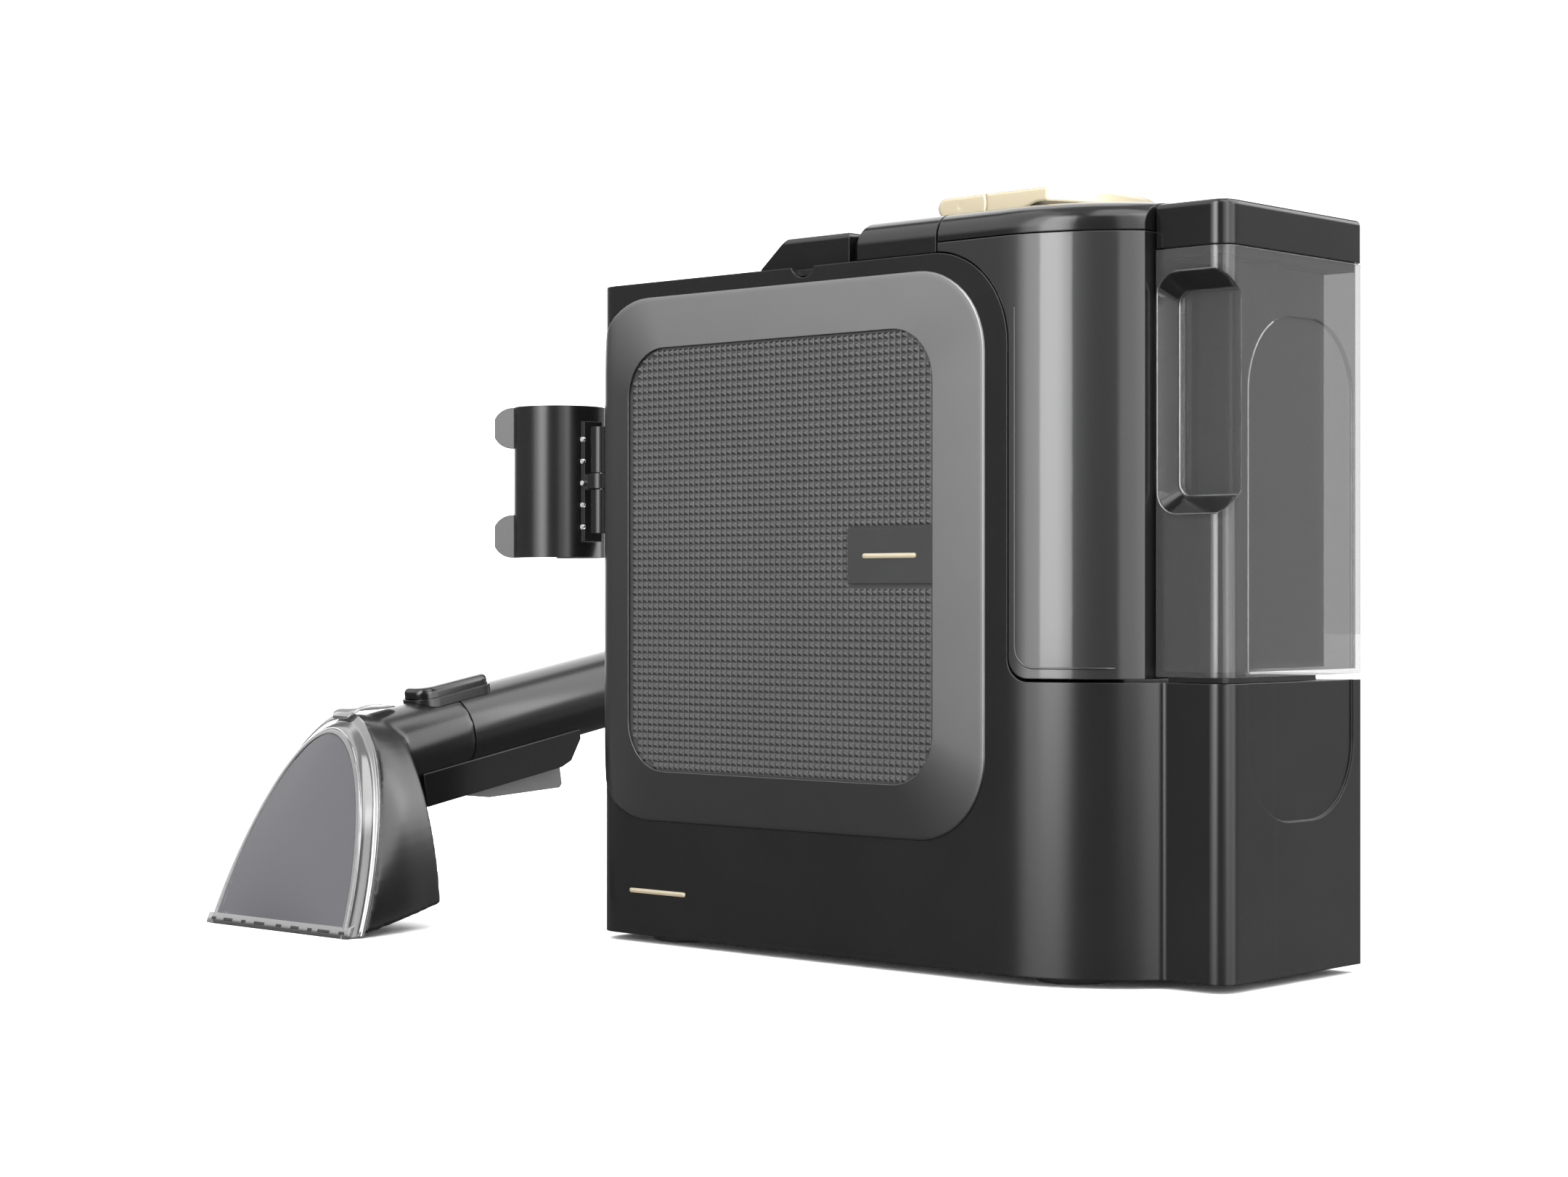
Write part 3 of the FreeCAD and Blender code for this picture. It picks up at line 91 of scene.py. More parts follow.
def moulded(name, colour, roughness, metallic=0.0, grain=0.006 * MM, grain_size=0.5 * MM, variation=0.12,
            edge=0.5 * MM):
    """Plastic, metal, rubber or paint with fine grain, slow colour drift and softly rounded edges."""
    material = bpy.data.materials.new(name)
    tree = Tree(material)
    where = tree.add("ShaderNodeTexCoord").outputs["Object"]
    fine = tree.add("ShaderNodeTexNoise", {"Vector": where, "Scale": 1 / grain_size, "Detail": 2.0})
    slow = tree.add("ShaderNodeTexNoise", {"Vector": where, "Scale": 18.0, "Detail": 3.0})
    drift = tree.add("ShaderNodeMapRange", {"Value": slow.outputs[0], "From Min": 0.3, "From Max": 0.7,
                                            "To Min": 1 - variation, "To Max": 1 + variation})
    tone = tree.add("ShaderNodeMix", {0: 1.0, 6: colour, 7: drift.outputs[0]},
                    data_type="RGBA", blend_type="MULTIPLY")
    rough = tree.add("ShaderNodeMapRange", {"Value": fine.outputs[0], "To Min": roughness - 0.05,
                                            "To Max": roughness + 0.05})
    round_edge = tree.add("ShaderNodeBevel", {"Radius": edge}, samples=BEVEL_SAMPLES)
    bump = tree.add("ShaderNodeBump", {"Height": fine.outputs[0], "Distance": grain, "Strength": 1.0,
                                       "Normal": round_edge.outputs[0]})
    shader = tree.add("ShaderNodeBsdfPrincipled", {
        "Base Color": tone.outputs[2], "Roughness": rough.outputs[0], "Metallic": metallic,
        "Normal": bump.outputs[0]})
    tree.add("ShaderNodeOutputMaterial", {"Surface": shader.outputs[0]})
    MATERIALS[name] = material


def see_through(name, tint, cover, film, roughness=0.08, gloss=1.0):
    """A smoky clear wall: what is behind shows through a tint, under a film of colour and a gloss."""
    material = bpy.data.materials.new(name)
    tree = Tree(material)
    where = tree.add("ShaderNodeTexCoord").outputs["Object"]
    flow = tree.add("ShaderNodeTexNoise", {"Vector": where, "Scale": 60.0, "Detail": 2.0})
    round_edge = tree.add("ShaderNodeBevel", {"Radius": 0.6 * MM}, samples=BEVEL_SAMPLES)
    bump = tree.add("ShaderNodeBump", {"Height": flow.outputs[0], "Distance": 0.1 * MM, "Strength": 0.3,
                                       "Normal": round_edge.outputs[0]})
    through = tree.add("ShaderNodeBsdfTransparent", {"Color": tint})
    body = tree.add("ShaderNodeBsdfPrincipled", {"Base Color": film, "Roughness": 0.35,
                                                 "Normal": bump.outputs[0]})
    wall = tree.add("ShaderNodeMixShader", {0: cover, 1: through.outputs[0], 2: body.outputs[0]})
    leaving = tree.add("ShaderNodeNewGeometry").outputs["Backfacing"]
    index = tree.add("ShaderNodeMapRange", {"Value": leaving, "To Min": PLASTIC_IOR,
                                            "To Max": 1 / PLASTIC_IOR})
    fresnel = tree.add("ShaderNodeFresnel", {"IOR": index.outputs[0], "Normal": bump.outputs[0]})
    weight = tree.math("MULTIPLY", fresnel.outputs[0], gloss)
    mirror = tree.add("ShaderNodeBsdfGlossy", {"Color": rgb(1.0), "Roughness": roughness,
                                               "Normal": bump.outputs[0]})
    mixed = tree.add("ShaderNodeMixShader", {0: weight, 1: wall.outputs[0], 2: mirror.outputs[0]})
    tree.add("ShaderNodeOutputMaterial", {"Surface": mixed.outputs[0]})
    MATERIALS[name] = material


moulded("charcoal_plastic", rgb(0.006), 0.2, edge=0.8 * MM)
moulded("black_plastic", rgb(0.006), 0.25)
moulded("gloss_black", rgb(0.005), 0.15, edge=0.8 * MM)
moulded("steel", rgb(0.6), 0.3, metallic=1.0, grain_size=0.2 * MM)
moulded("foot_rubber", rgb(0.015), 0.7, grain=0.1 * MM)
moulded("seal_rubber", rgb(0.02), 0.6, grain=0.1 * MM)
moulded("grey_panel", rgb(0.2), 0.3, metallic=1.0, variation=0.03)
moulded("texture_grey", rgb(0.1), 0.32, metallic=0.8, variation=0.03)
moulded("badge_dark", rgb(0.035), 0.4, metallic=0.5)
moulded("motor_steel", rgb(0.5), 0.35, metallic=1.0)
moulded("duct_plastic", rgb(0.18), 0.45)
moulded("pump_plastic", rgb(0.22, -0.03), 0.45)
moulded("boiler_aluminium", rgb(0.6), 0.35, metallic=1.0)
moulded("board_green", (0.01, 0.14, 0.05, 1), 0.4)
moulded("filter_media", rgb(0.6, 0.02), 0.9, grain=0.2 * MM)
moulded("impeller_plastic", rgb(0.45, 0.02), 0.4)
moulded("button_dark", rgb(0.03), 0.3)
see_through("smoky_tank", rgb(0.05), 0.9, rgb(0.006), roughness=0.07)
moulded("cage_plastic", rgb(0.2), 0.4)
moulded("float_white", rgb(0.6, 0.02), 0.4)
moulded("champagne_gold", (0.72, 0.63, 0.45, 1), 0.32, metallic=0.75, variation=0.03, edge=2 * MM)
see_through("clear_tank", rgb(0.64), 0.14, rgb(0.15), roughness=0.06)
see_through("bottle_smoke", rgb(0.5), 0.35, rgb(0.045))
moulded("bright_nub", rgb(0.8), 0.15, metallic=1.0)
see_through("clear_window", (0.5, 0.49, 0.53, 1), 0.4, (0.07, 0.068, 0.078, 1))
moulded("trigger_grey", rgb(0.1), 0.4)
see_through("clear_window_rim", rgb(0.5), 0.3, rgb(0.05), roughness=0.1, gloss=3.5)
RIM_GLOSS = MATERIALS["clear_window_rim"]


def dress_nodes():
    """Give every CAD node the material of its slot in the record."""
    for part in frame["record"]["subparts"]:
        slots = frame["nodes"][part["node"]].data.materials
        slots.clear()
        slots.append(MATERIALS[part["material_slot"]])


# ---------------------------------------------------------------- objects, lines and shapes
def place(name, data):
    """A new object in the scene that holds this mesh, light or camera."""
    made = bpy.data.objects.new(name, data)
    bpy.context.scene.collection.objects.link(made)
    return made


def piece(name, shape, body, slot, smooth=30, material=None):
    """A mesh in the CAD frame that rides on a body.

    shape is its points and faces; faces that meet at less than smooth degrees are shaded as one.
    """
    points, faces = shape
    mesh = bpy.data.meshes.new(name)
    mesh.from_pydata([tuple(point) for point in points], [], faces)
    made = place(name, mesh)
    clean = bmesh.new()
    clean.from_mesh(mesh)
    bmesh.ops.remove_doubles(clean, verts=clean.verts, dist=0.001 * MM)
    bmesh.ops.recalc_face_normals(clean, faces=clean.faces)
    clean.to_mesh(mesh)
    clean.free()
    mesh.shade_smooth()
    mesh.set_sharp_from_angle(angle=math.radians(smooth))
    mesh.materials.append(material or MATERIALS[slot])
    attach(made, body)
    return made


def mix(near, far, part):
    """The value part of the way from near to far."""
    return near + (far - near) * part


def signed_power(value, power):
    """A power that keeps the sign: below 1 it squares a circle off, above 1 it draws its sides in."""
    return math.copysign(abs(value) ** power, value)


def circle(count):
    """Points round a circle of radius 1, each as across and up."""
    turns = [2 * math.pi * i / count for i in range(count)]
    return [(math.cos(turn), math.sin(turn)) for turn in turns]


def arc(across, up, radius, first, last, steps):
    """Points on an arc round a centre, from one angle in degrees to another."""
    turns = [math.radians(mix(first, last, step / steps)) for step in range(steps + 1)]
    return [(across + radius * math.cos(turn), up + radius * math.sin(turn)) for turn in turns]


def round_rectangle(x0, z0, x1, z1, corner):
    """Points round a rounded rectangle: always the same count, so that two of them can be joined."""
    corner_steps, side_steps = 12, 8
    corners = [arc(x, z, corner, first, first + 90, corner_steps) for x, z, first in (
        (x1 - corner, z0 + corner, -90), (x1 - corner, z1 - corner, 0),
        (x0 + corner, z1 - corner, 90), (x0 + corner, z0 + corner, 180))]
    ring = []
    for here, ahead in zip(corners, corners[1:] + corners[:1]):
        (x, z), (next_x, next_z) = here[-1], ahead[0]
        side = [step / side_steps for step in range(1, side_steps)]
        ring += here + [(mix(x, next_x, part), mix(z, next_z, part)) for part in side]
    return ring


def bands(rings, closed=True):
    """Points and quads that join rings of equal length one after another."""
    count = len(rings[0])
    points = [point for ring in rings for point in ring]
    faces = []
    for i in range(len(rings) - 1):
        for j in range(count if closed else count - 1):
            k = (j + 1) % count
            faces.append((i * count + j, i * count + k, (i + 1) * count + k, (i + 1) * count + j))
    return points, faces


def capped(rings):
    """A closed form through rings, with a flat face over its first and its last."""
    points, faces = bands(rings)
    count, total = len(rings[0]), len(points)
    return points, faces + [tuple(range(count)), tuple(range(total - count, total))]


def merged(*parts):
    """Several shapes as one."""
    points, faces = [], []
    for more_points, more_faces in parts:
        first = len(points)
        faces += [tuple(first + i for i in face) for face in more_faces]
        points += more_points
    return points, faces


def tube(line, radius, facing=Vector((0, 1, 0))):
    """A thin tube along a line that stays square to the facing direction."""
    rings = []
    for i, here in enumerate(line):
        before, after = Vector(line[max(i - 1, 0)]), Vector(line[min(i + 1, len(line) - 1)])
        across = (after - before).normalized().cross(facing).normalized()
        rings.append([Vector(here) + (across * side + facing * up) * radius for side, up in circle(8)])
    return capped(rings)


# ---------------------------------------------------------------- front panel
HOUSING_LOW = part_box("front_housing")[0]
FRONT = HOUSING_LOW.y
END_CORNER = 16 * MM
FIELD_CORNER = 24 * MM
SUNK = 0.5 * MM         # how far a piece's hidden edge reaches into what it sits on
SQUARE = ((-1, -1), (1, -1), (1, 1), (-1, 1))


def housing_front(x):
    """The housing's front surface at x: flat, and round the left end corner."""
    into = HOUSING_LOW.x + END_CORNER - x
    if into <= 0:
        return FRONT
    return FRONT + END_CORNER - math.sqrt(max(END_CORNER ** 2 - into ** 2, 0.0))


def front_panel():
    """The grey bezel: a rounded-rectangle ring that slopes from its rim up to the textured field."""
    low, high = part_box("front_panel")
    field_low, field_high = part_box("texture_field")
    outer = round_rectangle(low.x, low.z, high.x, high.z, 38 * MM)
    inner = round_rectangle(field_low.x, field_low.z, field_high.x, field_high.z, FIELD_CORNER)
    rim, rise, breadth, drop = 0.8 * MM, 3.2 * MM, 28 * MM, 1.6 * MM
    rim_steps, slope_steps = 4, 14

    def ring(inset, lift):
        """The outline moved a share of the way in to the field, and lifted off the housing."""
        line = [(mix(x, u, inset), mix(z, w, inset)) for (x, z), (u, w) in zip(outer, inner)]
        return [(x, housing_front(x) - lift, z) for x, z in line]

    rings = [ring(0, -SUNK)]
    for step in range(rim_steps + 1):
        turn = math.radians(90 * step / rim_steps)
        rings.append(ring(rim * (1 - math.cos(turn)) / breadth, rim * math.sin(turn)))
    for step in range(1, slope_steps + 1):
        part = step / slope_steps
        rings.append(ring(mix(rim / breadth, 1, part), rim + rise * part))
    rings.append([(x, FRONT - rim - rise + drop, z) for x, z in inner])
    rings.append([(x, FRONT + SUNK, z) for x, z in inner])
    bezel = piece("bezel", bands(rings + [rings[0]]), "machine", "grey_panel", smooth=25)
    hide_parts("front_panel")


def texture_field():
    """Rows of small four-sided studs on a plate, with a gap for the badge."""
    low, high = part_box("texture_field")
    badge_low, badge_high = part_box("badge_plate")
    pitch, foot, top, tall = 3.5 * MM, 1.45 * MM, 0.35 * MM, 1.15 * MM
    plate_back, plate_front, overlap = FRONT - 0.2 * MM, FRONT - 2.6 * MM, 0.1 * MM
    corner_room = FIELD_CORNER - 0.7 * foot
    ring = round_rectangle(low.x, low.z, high.x, high.z, FIELD_CORNER)
    shapes = [capped([[(x, y, z) for x, z in ring] for y in (plate_back, plate_front)])]
    wide, high_up = high.x - low.x, high.z - low.z
    middle_x, middle_z = (low.x + high.x) / 2, (low.z + high.z) / 2
    columns, rows = int(wide / pitch), int(high_up / pitch)
    for column in range(columns):
        for row in range(rows):
            x = middle_x + (column - (columns - 1) / 2) * pitch
            z = middle_z + (row - (rows - 1) / 2) * pitch
            over_x = max(abs(x - middle_x) - wide / 2 + FIELD_CORNER, 0)
            over_z = max(abs(z - middle_z) - high_up / 2 + FIELD_CORNER, 0)
            outside = math.hypot(over_x, over_z) > corner_room
            at_badge = x > badge_low.x - foot and badge_low.z - foot < z < badge_high.z + foot
            if outside or at_badge:
                continue
            levels = ((foot, plate_front + overlap), (top, plate_front - tall))
            shapes.append(capped([[(x + half * side, y, z + half * up) for side, up in SQUARE]
                                  for half, y in levels]))
    field = piece("stud_field", merged(*shapes), "machine", "texture_grey", smooth=20)
    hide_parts("texture_field")


# ---------------------------------------------------------------- hand tool
# Its own frame: x across, y back along the tube, z up from the lip; the tool lies pitched on the floor.
TOOL = Matrix.Translation((-0.315, -0.160, 0)) @ Matrix.Rotation(math.radians(10), 4, "X")
TUBE_AXIS, TUBE_ROUND = 75 * MM, 21 * MM
LEAN = math.tan(math.radians(29.7))
ARCH_STEPS, FACE_COLUMNS = 48, 12
RISE_POWER, SIDE_POWER = 1.25, 1.04     # how far the arch's flanks and foot are drawn in from an ellipse
WINDOW_HALF, WINDOW_HIGH = 55.5 * MM, 95 * MM


def tool_piece(name, shape, slot="clear_window", smooth=35, material=None):
    """A piece of the hand tool, given in the tool's own frame."""
    points, faces = shape
    moved = [TOOL @ Vector(point) for point in points]
    return piece(name, (moved, faces), "hand_tool", slot, smooth, material)


def arch(half, high, depth, slope):
    """The nozzle's arch from its low right end over the top to its low left end, leaning back."""
    points = []
    for i in range(ARCH_STEPS + 1):
        turn = math.pi * i / ARCH_STEPS
        z = high * max(math.sin(turn), 0.0) ** RISE_POWER
        points.append((half * signed_power(math.cos(turn), SIDE_POWER), depth + z * slope, z))
    return points


def window_arches(profile):
    """Arches along the window's edge; profile says how far out and how far back each runs, in mm."""
    return [arch(WINDOW_HALF + out * MM, WINDOW_HIGH + out * MM, back * MM, LEAN) for out, back in profile]


def end_faces(rings):
    """The two flat faces over the first and over the last ends of lines that run side by side."""
    starts = range(0, len(rings) * len(rings[0]), len(rings[0]))
    return [tuple(start + end for start in starts) for end in (0, len(rings[0]) - 1)]


def face_grid(line):
    """Points and quads that fill an arch, bulged forward in the middle."""
    half, bulge = len(line) // 2, 1.8 * MM
    rows = []
    for i in range(half + 1):
        (x0, y, z), x1 = line[i], line[-1 - i][0]
        crown = bulge * math.sin(math.pi * i / half)
        parts = [j / FACE_COLUMNS for j in range(FACE_COLUMNS + 1)]
        rows.append([(mix(x0, x1, part), y - crown * 4 * part * (1 - part), z) for part in parts])
    return bands(rows, closed=False)


def window_band(name, profile):
    """A strip of closed section that follows the window's edge."""
    rings = window_arches(profile)
    points, faces = bands(rings + [rings[0]], closed=False)
    tool_piece(name, (points, faces + end_faces(rings)), material=RIM_GLOSS)


def nozzle_window():
    """The clear front of the nozzle: a crowned face, the rounded shoulder round it and a bead between."""
    edge = window_arches([(-3.3, 0.0), (-3.1, 0.3), (-3.1, 1.8), (-3.3, 2.1)])
    points, faces = bands(edge, closed=False)
    outside, inside = face_grid(edge[0]), face_grid(edge[-1])
    foot = bands([grid[0][:FACE_COLUMNS + 1] for grid in (outside, inside)], closed=False)
    shape = merged((points, faces + end_faces(edge)), outside, inside, foot)
    face = tool_piece("window_face", shape)
    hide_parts("nozzle_window")
    window_band("window_rim", [
        (-3.0, 0.1), (-1.6, 0.6), (-0.5, 1.5), (0.5, 3.0), (1.7, 5.0), (2.6, 6.2), (3.7, 6.5), (4.6, 6.9),
        (5.0, 7.5), (4.9, 8.0), (2.6, 8.0), (1.2, 6.6), (-0.6, 4.4), (-2.0, 2.9), (-3.0, 2.2)])
    window_band("face_bead", [
        (-4.4, 0.2), (-3.9, -0.5), (-2.6, -0.8), (-1.5, -0.3), (-1.2, 0.6), (-2.9, 0.9)])


def on_window(outline, height):
    """An outline in mm, across and back from the window's plane, at a height in mm."""
    return [(x * MM, (y + height * LEAN) * MM, height * MM) for x, y in outline]


def lip_strip():
    """The clear strip along the foot of the window, its two long edges eased."""
    outline = [(-57.2, -0.7), (57.2, -0.7), (57.6, 0.2), (56.4, 3.4), (-56.4, 3.4), (-57.6, 0.2)]
    narrowing, eased = 0.995, 0.3 * MM
    rings = [on_window(outline, height) for height in (0.25, 0.9, 4.6, 5.2)]
    for end in (0, -1):
        rings[end] = [(x * narrowing, y + eased, z) for x, y, z in rings[end]]
    tool_piece("lip_strip", capped(rings), material=RIM_GLOSS)


def lip_slots():
    """The dark water slots in the lip strip, in mm; each has its place across and its width."""
    front, back, low, high = -0.95, 0.6, 2.2, 3.4
    slots = []
    for x, wide in ((-52, 3), (-40, 7), (-27, 3), (-14, 8), (2, 4), (15, 6), (27, 3), (38, 9), (52, 4)):
        outline = [(x + wide / 2 * side, back if up > 0 else front) for side, up in SQUARE]
        slots.append(capped([on_window(outline, height) for height in (low, high)]))
    tool_piece("lip_slots", merged(*slots), "black_plastic", smooth=20)


def suction_mouth():
    """The round mouth behind the window: a lip that leans like the window, on a sleeve that runs back."""
    centre, sleeve_end = TUBE_AXIS - 1.5 * MM, 40
    sleeve_slope, lip_slope = 0.35, 0.94 * LEAN
    rings = []
    for radius, back in ((19.6, sleeve_end), (19.6, 5.2), (19.2, 4.2), (18.2, 4.0), (17.4, 4.4),
                         (17.2, 5.4), (17.2, sleeve_end)):
        slope = sleeve_slope if back == sleeve_end else lip_slope
        heights = [(side, centre + radius * MM * up) for side, up in circle(48)]
        rings.append([(radius * MM * side, back * MM + z * slope, z) for side, z in heights])
    tool_piece("suction_mouth", bands(rings))


def latch_tab():
    """The clear tab on top that frees the window: a low bar with rounded sections."""
    sections = (            # in mm: where along the tool, half as wide, its foot, its top
        (59.5, 6.0, 97.2, 98.6), (61.5, 8.2, 98.2, 100.6), (66, 9.0, 99.6, 102.6), (72, 9.0, 99.0, 103.0),
        (79, 8.6, 97.9, 101.8), (86, 7.6, 97.2, 99.8), (91.5, 6.0, 96.8, 98.0), (93, 4.6, 96.7, 97.3))
    rings = []
    for along, wide, low, high in sections:
        middle, half = (low + high) / 2, (high - low) / 2
        section = [(signed_power(side, 0.5), signed_power(up, 0.6)) for side, up in circle(24)]
        rings.append([(wide * side * MM, along * MM, (middle + half * up) * MM) for side, up in section])
    tool_piece("latch_tab", capped(rings), smooth=50, material=RIM_GLOSS)


def nozzle_body():
    """The black body behind the window and the neck it flows into: two forms melted into one skin."""
    steps, foot = 12, 0.3 * MM
    rings = []
    for step in range(steps + 1):
        part = step / steps
        ease = part * part * (3 - 2 * part)
        half = mix(59.9 * MM, 50 * MM, 0.35 * part + 0.65 * ease * part)
        back = mix(8.3 * MM, 68 * MM, part)
        slope = mix(LEAN, math.tan(math.radians(10)), part)
        line = arch(half, mix(99.2 * MM, 94 * MM, part), back, slope)
        rings.append(line + [(line[end][0], line[end][1], foot) for end in (-1, 0)])
    neck = [[(TUBE_ROUND * side, along * MM, TUBE_AXIS + TUBE_ROUND * up) for side, up in circle(48)]
            for along in (68, 74, 80, 90, 100, 110, 120, 132)]
    body = tool_piece("nozzle_skin", merged(capped(rings), capped(neck)), "black_plastic", smooth=50)
    melt = body.modifiers.new("melt", "REMESH")
    melt.mode = "VOXEL"
    melt.voxel_size = 1.3 * MM
    melt.use_smooth_shade = True
    soften = body.modifiers.new("soften", "SMOOTH")
    soften.factor = 0.5
    soften.iterations = 9
    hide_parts("nozzle_body")


# ---------------------------------------------------------------- gold bars and tank details
def gold_bar(name, left, right, front, middle):
    """A plain raised bar of gold on a surface that faces the front."""
    half_high, raised = 1.1 * MM, 0.3 * MM
    outline = round_rectangle(left, middle - half_high, right, middle + half_high, half_high * 0.99)
    piece(name, capped([[(x, y, z) for x, z in outline] for y in (front + raised, front - raised)]),
          "machine", "champagne_gold")


def gold_bars():
    """One bar in the middle of the badge plate and one low on the left of the base."""
    low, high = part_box("badge_plate")
    gold_bar("badge_bar", low.x + 9 * MM, high.x - 9 * MM, low.y, (low.z + high.z) / 2)
    gold_bar("base_bar", -150 * MM, -112 * MM, FRONT, 25.5 * MM)


def column_bead():
    """A raised line just inside the dirty tank's front edge: down its left side and along its foot."""
    left, top, corner = 87.8 * MM, 295 * MM, 9.2 * MM
    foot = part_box("dirty_tank_shell")[0].z + 4.6 * MM
    line = [(left, top - 10 * MM * i) for i in range(14)]
    line += arc(left + corner, foot + corner, corner, 180, 270, 8)
    line += [(left + corner + 4 * MM * i, foot) for i in range(1, 9)]
    column_x, column_radius, sunk = 79 * MM, 79 * MM, 0.05 * MM
    path = []
    for x, z in line:
        forward = math.sqrt(column_radius ** 2 - (x - column_x) ** 2)
        path.append((x, FRONT + column_radius - forward - sunk, z))
    piece("column_bead", tube(path, 0.5 * MM), "dirty_tank", "smoky_tank", smooth=60)


def channel_bead():
    """The bright near edge of the channel in the clean tank's end: up its side and round into its top."""
    low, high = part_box("clean_tank_shell")
    near, top, corner = -22 * MM, 291 * MM, 34 * MM
    line = [(near, low.z + 2 * MM)] + arc(near + corner, top - corner, corner, 180, 116, 8)
    bead = tube([(high.x, y, z) for y, z in line], 0.4 * MM, facing=Vector((1, 0, 0)))
    piece("channel_bead", bead, "clean_tank", "clear_tank", smooth=60, material=RIM_GLOSS)


GRIP_FLOOR_Y, GRIP_MOUTH_Y = -27 * MM, -38 * MM
GRIP_LEFT, GRIP_RIGHT, GRIP_LOW, GRIP_HIGH, GRIP_CORNER = 144, 175.2, 212, 301, 6     # its floor, in mm
GRIP_SIDE_SPREAD, GRIP_END_SPREAD, GRIP_RIGHT_CUT = 3.85, 7.7, 5.2      # how far its mouth differs, in mm


def grip_edge(part, inset=0.15):
    """A line round the finger pocket's top, left and bottom, part of the way from floor to mouth."""
    left = (GRIP_LEFT - GRIP_SIDE_SPREAD * part + inset) * MM
    right = (GRIP_RIGHT - GRIP_RIGHT_CUT * part) * MM
    low = (GRIP_LOW - GRIP_END_SPREAD * part + inset) * MM
    high = (GRIP_HIGH + GRIP_END_SPREAD * part - inset) * MM
    corner = (GRIP_CORNER + GRIP_SIDE_SPREAD * part) * MM
    line = [(right, high)] + arc(left + corner, high - corner, corner, 90, 180, 8)
    line += arc(left + corner, low + corner, corner, 180, 270, 8) + [(right, low)]
    y = mix(GRIP_FLOOR_Y, GRIP_MOUTH_Y, part)
    return [(x, y, z) for x, z in line]


def grip_details():
    """Bright beads on the finger pocket's edges, and dark strips of painted shade on its top and bottom
    walls, where the pocket is in shadow.
    """
    floor_bead = tube(grip_edge(0, inset=0.4), 0.55 * MM)
    mouth_bead = tube(grip_edge(1, inset=0.1), 0.4 * MM)
    piece("grip_beads", merged(floor_bead, mouth_bead), "clean_tank", "clear_tank", material=RIM_GLOSS)
    # painted shade: black gloss strips laid on the pocket's top and bottom walls to darken them as its
    # shadow would
    lines = [grip_edge(part) for part in (0.06, 0.35, 0.65, 0.94)]
    end = 8                 # points of the line that run along the top wall, and along the bottom wall
    top, bottom = [line[:end] for line in lines], [line[-end:] for line in lines]
    shade_strips = merged(bands(top, closed=False), bands(bottom, closed=False))
    piece("grip_painted_shade", shade_strips, "clean_tank", "gloss_black")


def tank_foot():
    """The dark rim that the clean tank stands on, open at the rear corner where light shows under it."""
    low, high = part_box("clean_tank_shell")
    left, right, front, back = low.x + 100 * MM, high.x - 1.5 * MM, low.y + 1.5 * MM, 36 * MM
    chamfer, deep, overlap = 1.5 * MM, 2.2 * MM, 0.1 * MM
    outline = [(left, front), (right - chamfer, front), (right, front + chamfer), (right, back - 2 * MM),
               (high.x - 20 * MM, back), (left, back)]
    shape = capped([[(x, y, z) for x, y in outline] for z in (low.z - deep, low.z + overlap)])
    piece("tank_foot", shape, "clean_tank", "black_plastic")


# ---------------------------------------------------------------- camera, light and floor
BACKDROP = 2.4          # as bright as the lit floor, so that no horizon shows
SOFT_BOXES = (
    # turn, rise, half wide, half high, soft edge, strength
    (0, 90, 400, 24, 14, 0.4),
    (4, 24, 10, 25, 1.5, 5.0),
    (-5, 24, 9, 25, 12, 3.3),
    (61, 26, 14, 27, 4, 1.7),
    (88, 26, 20, 27, 14, 2.4),
    (-45, 42, 35, 24, 8, 1.4),
    (150, 0, 45, 14, 8, 0.3),
    (140, 42, 32, 27, 4, 3.4),
    (60, 66, 34, 13, 6, 3.0),
    (-130, 35, 20, 30, 10, 2.2),
)


def studio_world():
    """A white backdrop for the eye, and soft boxes that light the object and show in its gloss."""
    world = bpy.data.worlds.new("studio")
    bpy.context.scene.world = world
    tree = Tree(world)
    direction = tree.add("ShaderNodeTexCoord").outputs["Generated"]
    x, y, z = tree.add("ShaderNodeSeparateXYZ", {0: direction}).outputs
    azimuth = tree.math("ARCTAN2", x, tree.math("MULTIPLY", y, -1.0))
    elevation = tree.math("ARCSINE", z)

    def soft_step(distance, half, soft):
        """1 up to half an angle away, falling softly to 0 over the next few degrees."""
        return tree.add("ShaderNodeMapRange", {
            "Value": distance, "From Min": math.radians(half), "From Max": math.radians(half + soft),
            "To Min": 1.0, "To Max": 0.0}, interpolation_type="SMOOTHSTEP").outputs[0]

    def soft_box(turn, rise, half_wide, half_high, soft, strength):
        """A patch of light: degrees from -Y towards +X, degrees up, half sizes, width of its edge."""
        off_turn = tree.math("SUBTRACT", azimuth, math.radians(turn))
        wrapped = tree.add("ShaderNodeMath", {0: off_turn, 1: math.pi, 2: -math.pi}, operation="WRAP")
        off_rise = tree.math("SUBTRACT", elevation, math.radians(rise))
        across = soft_step(tree.math("ABSOLUTE", wrapped.outputs[0]), half_wide, soft)
        upright = soft_step(tree.math("ABSOLUTE", off_rise), half_high, soft)
        return tree.math("MULTIPLY", tree.math("MULTIPLY", across, upright), strength)

    total = tree.add("ShaderNodeMapRange", {"Value": z, "From Min": -0.4, "From Max": 0.9,
                                            "To Min": 0.1, "To Max": 0.35}).outputs[0]
    for box in SOFT_BOXES:
        total = tree.math("ADD", total, soft_box(*box))
    lit = tree.add("ShaderNodeBackground", {"Color": rgb(1.0), "Strength": total})
    seen = tree.add("ShaderNodeBackground", {"Color": rgb(1.0), "Strength": BACKDROP})
    to_eye = tree.add("ShaderNodeLightPath").outputs["Is Camera Ray"]
    both = tree.add("ShaderNodeMixShader", {0: to_eye, 1: lit.outputs[0], 2: seen.outputs[0]})
    tree.add("ShaderNodeOutputWorld", {"Surface": both.outputs[0]})


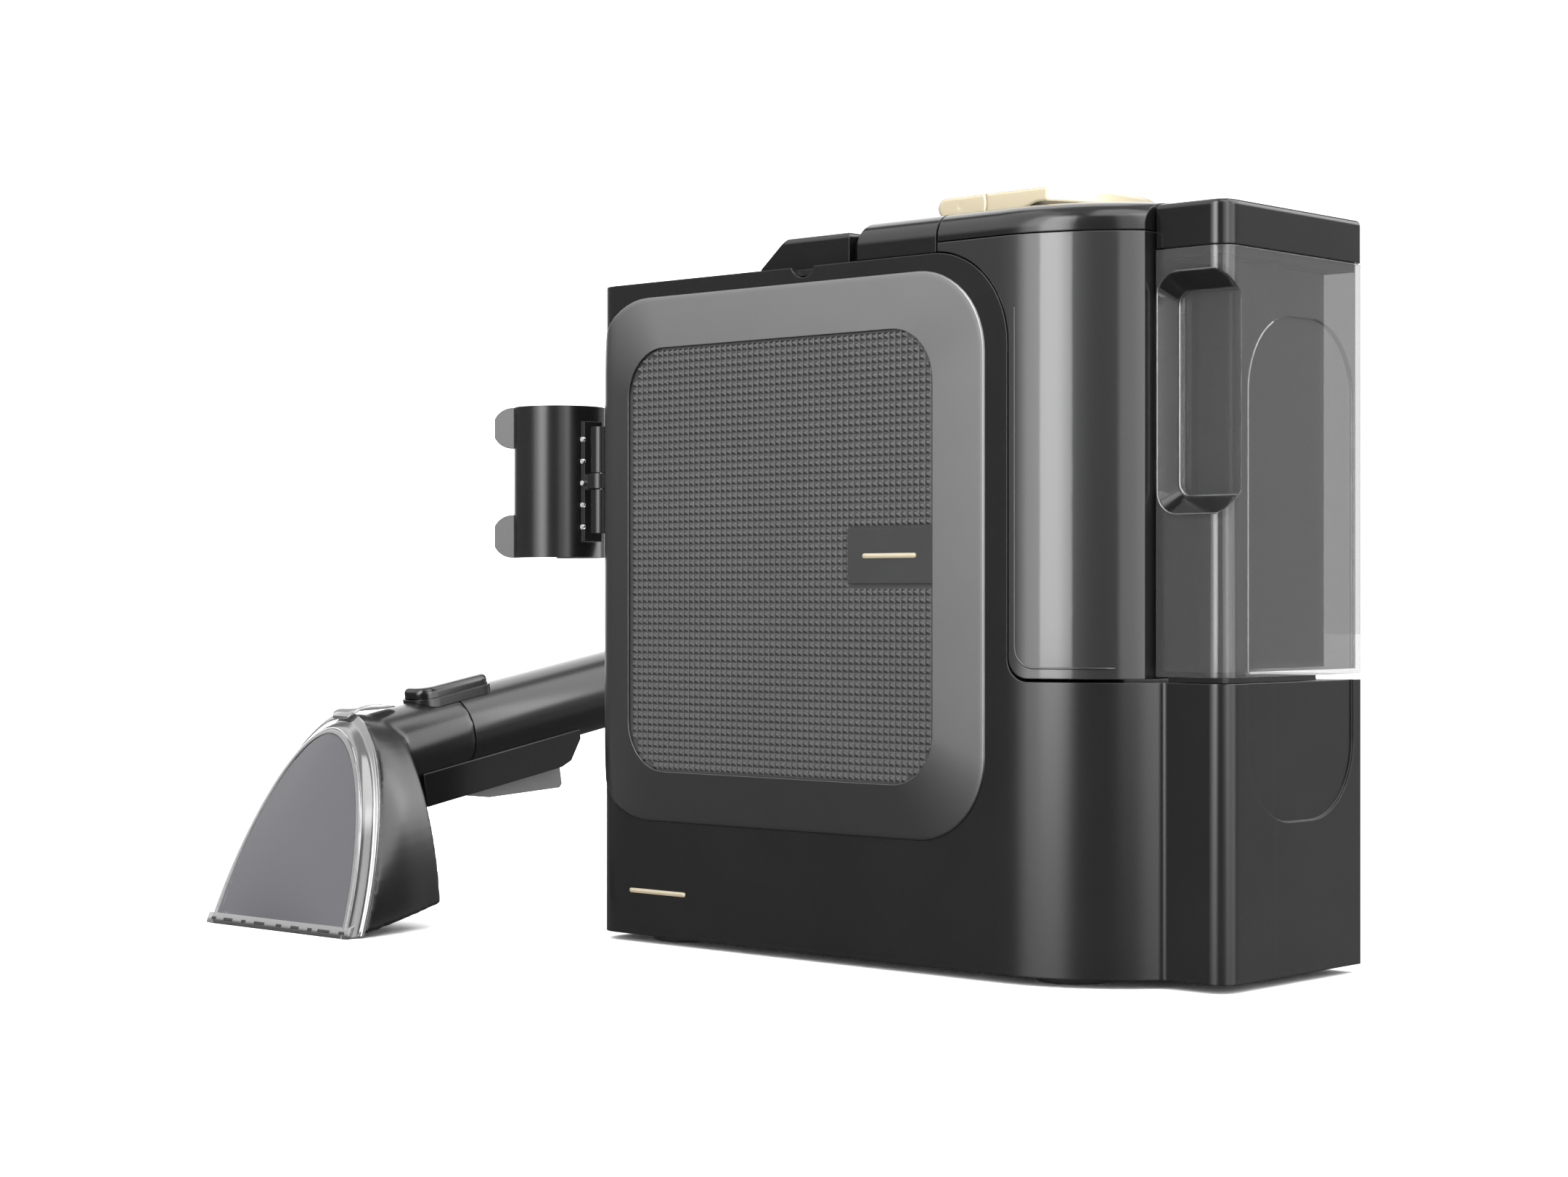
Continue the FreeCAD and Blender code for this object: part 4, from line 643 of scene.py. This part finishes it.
def make_camera():
    """The camera: level with the machine's middle, looking at its front from the right."""
    data = bpy.data.cameras.new("camera")
    data.sensor_width = 36.0
    data.lens = 66.72
    data.shift_y = 0.0053
    data.clip_start = 0.05
    data.clip_end = 50.0
    camera = place("camera", data)
    look = Vector((-0.6754, 0.7375, 0.0))
    camera.location = (0.8675, -1.0703, 0.169)
    camera.rotation_euler = look.to_track_quat("-Z", "Y").to_euler()
    bpy.context.scene.camera = camera


def make_tool_light():
    """A slanting card of light beside the housing's end, seen only in the hand tool's gloss."""
    wide, tall, radiance = 0.26, 0.1, 3.5
    slant = math.radians(29)
    lower_edge = Vector((-0.19, 0.013, 0.0975))
    along = Vector((0, math.cos(slant), math.sin(slant)))
    up = Vector((0, -math.sin(slant), math.cos(slant)))
    data = bpy.data.lights.new("tool_card", "AREA")
    data.shape = "RECTANGLE"
    data.size = wide
    data.size_y = tall
    data.energy = radiance * math.pi * wide * tall
    light = place("tool_card", data)
    turn = Matrix((along, up, Vector((1, 0, 0)))).transposed().to_4x4()
    light.matrix_world = Matrix.Translation(lower_edge + up * tall / 2) @ turn
    light.visible_camera = False
    light.visible_diffuse = False


def make_floor_light():
    """A broad light from overhead that whitens the floor and leaves no reflection."""
    data = bpy.data.lights.new("overhead", "SUN")
    data.energy = 2.6
    data.angle = math.radians(120)
    light = place("overhead", data)
    light.visible_glossy = False


def make_floor():
    """A wide pale disc that the object stands on."""
    mesh = bpy.data.meshes.new("floor")
    sides, radius = 64, 12.0
    mesh.from_pydata([(radius * x, radius * y, 0.0) for x, y in circle(sides)], [], [list(range(sides))])
    floor = place("floor", mesh)
    material = bpy.data.materials.new("floor")
    tree = Tree(material)
    shader = tree.add("ShaderNodeBsdfDiffuse", {"Color": rgb(0.92)})
    tree.add("ShaderNodeOutputMaterial", {"Surface": shader.outputs[0]})
    mesh.materials.append(material)
    floor.visible_glossy = False


make_floor_light()
make_tool_light()
dress_nodes()
front_panel()
texture_field()
nozzle_window()
lip_strip()
lip_slots()
suction_mouth()
latch_tab()
nozzle_body()
gold_bars()
column_bead()
channel_bead()
grip_details()
tank_foot()
make_camera()
studio_world()
make_floor()
bpy.context.scene.view_settings.view_transform = "Standard"
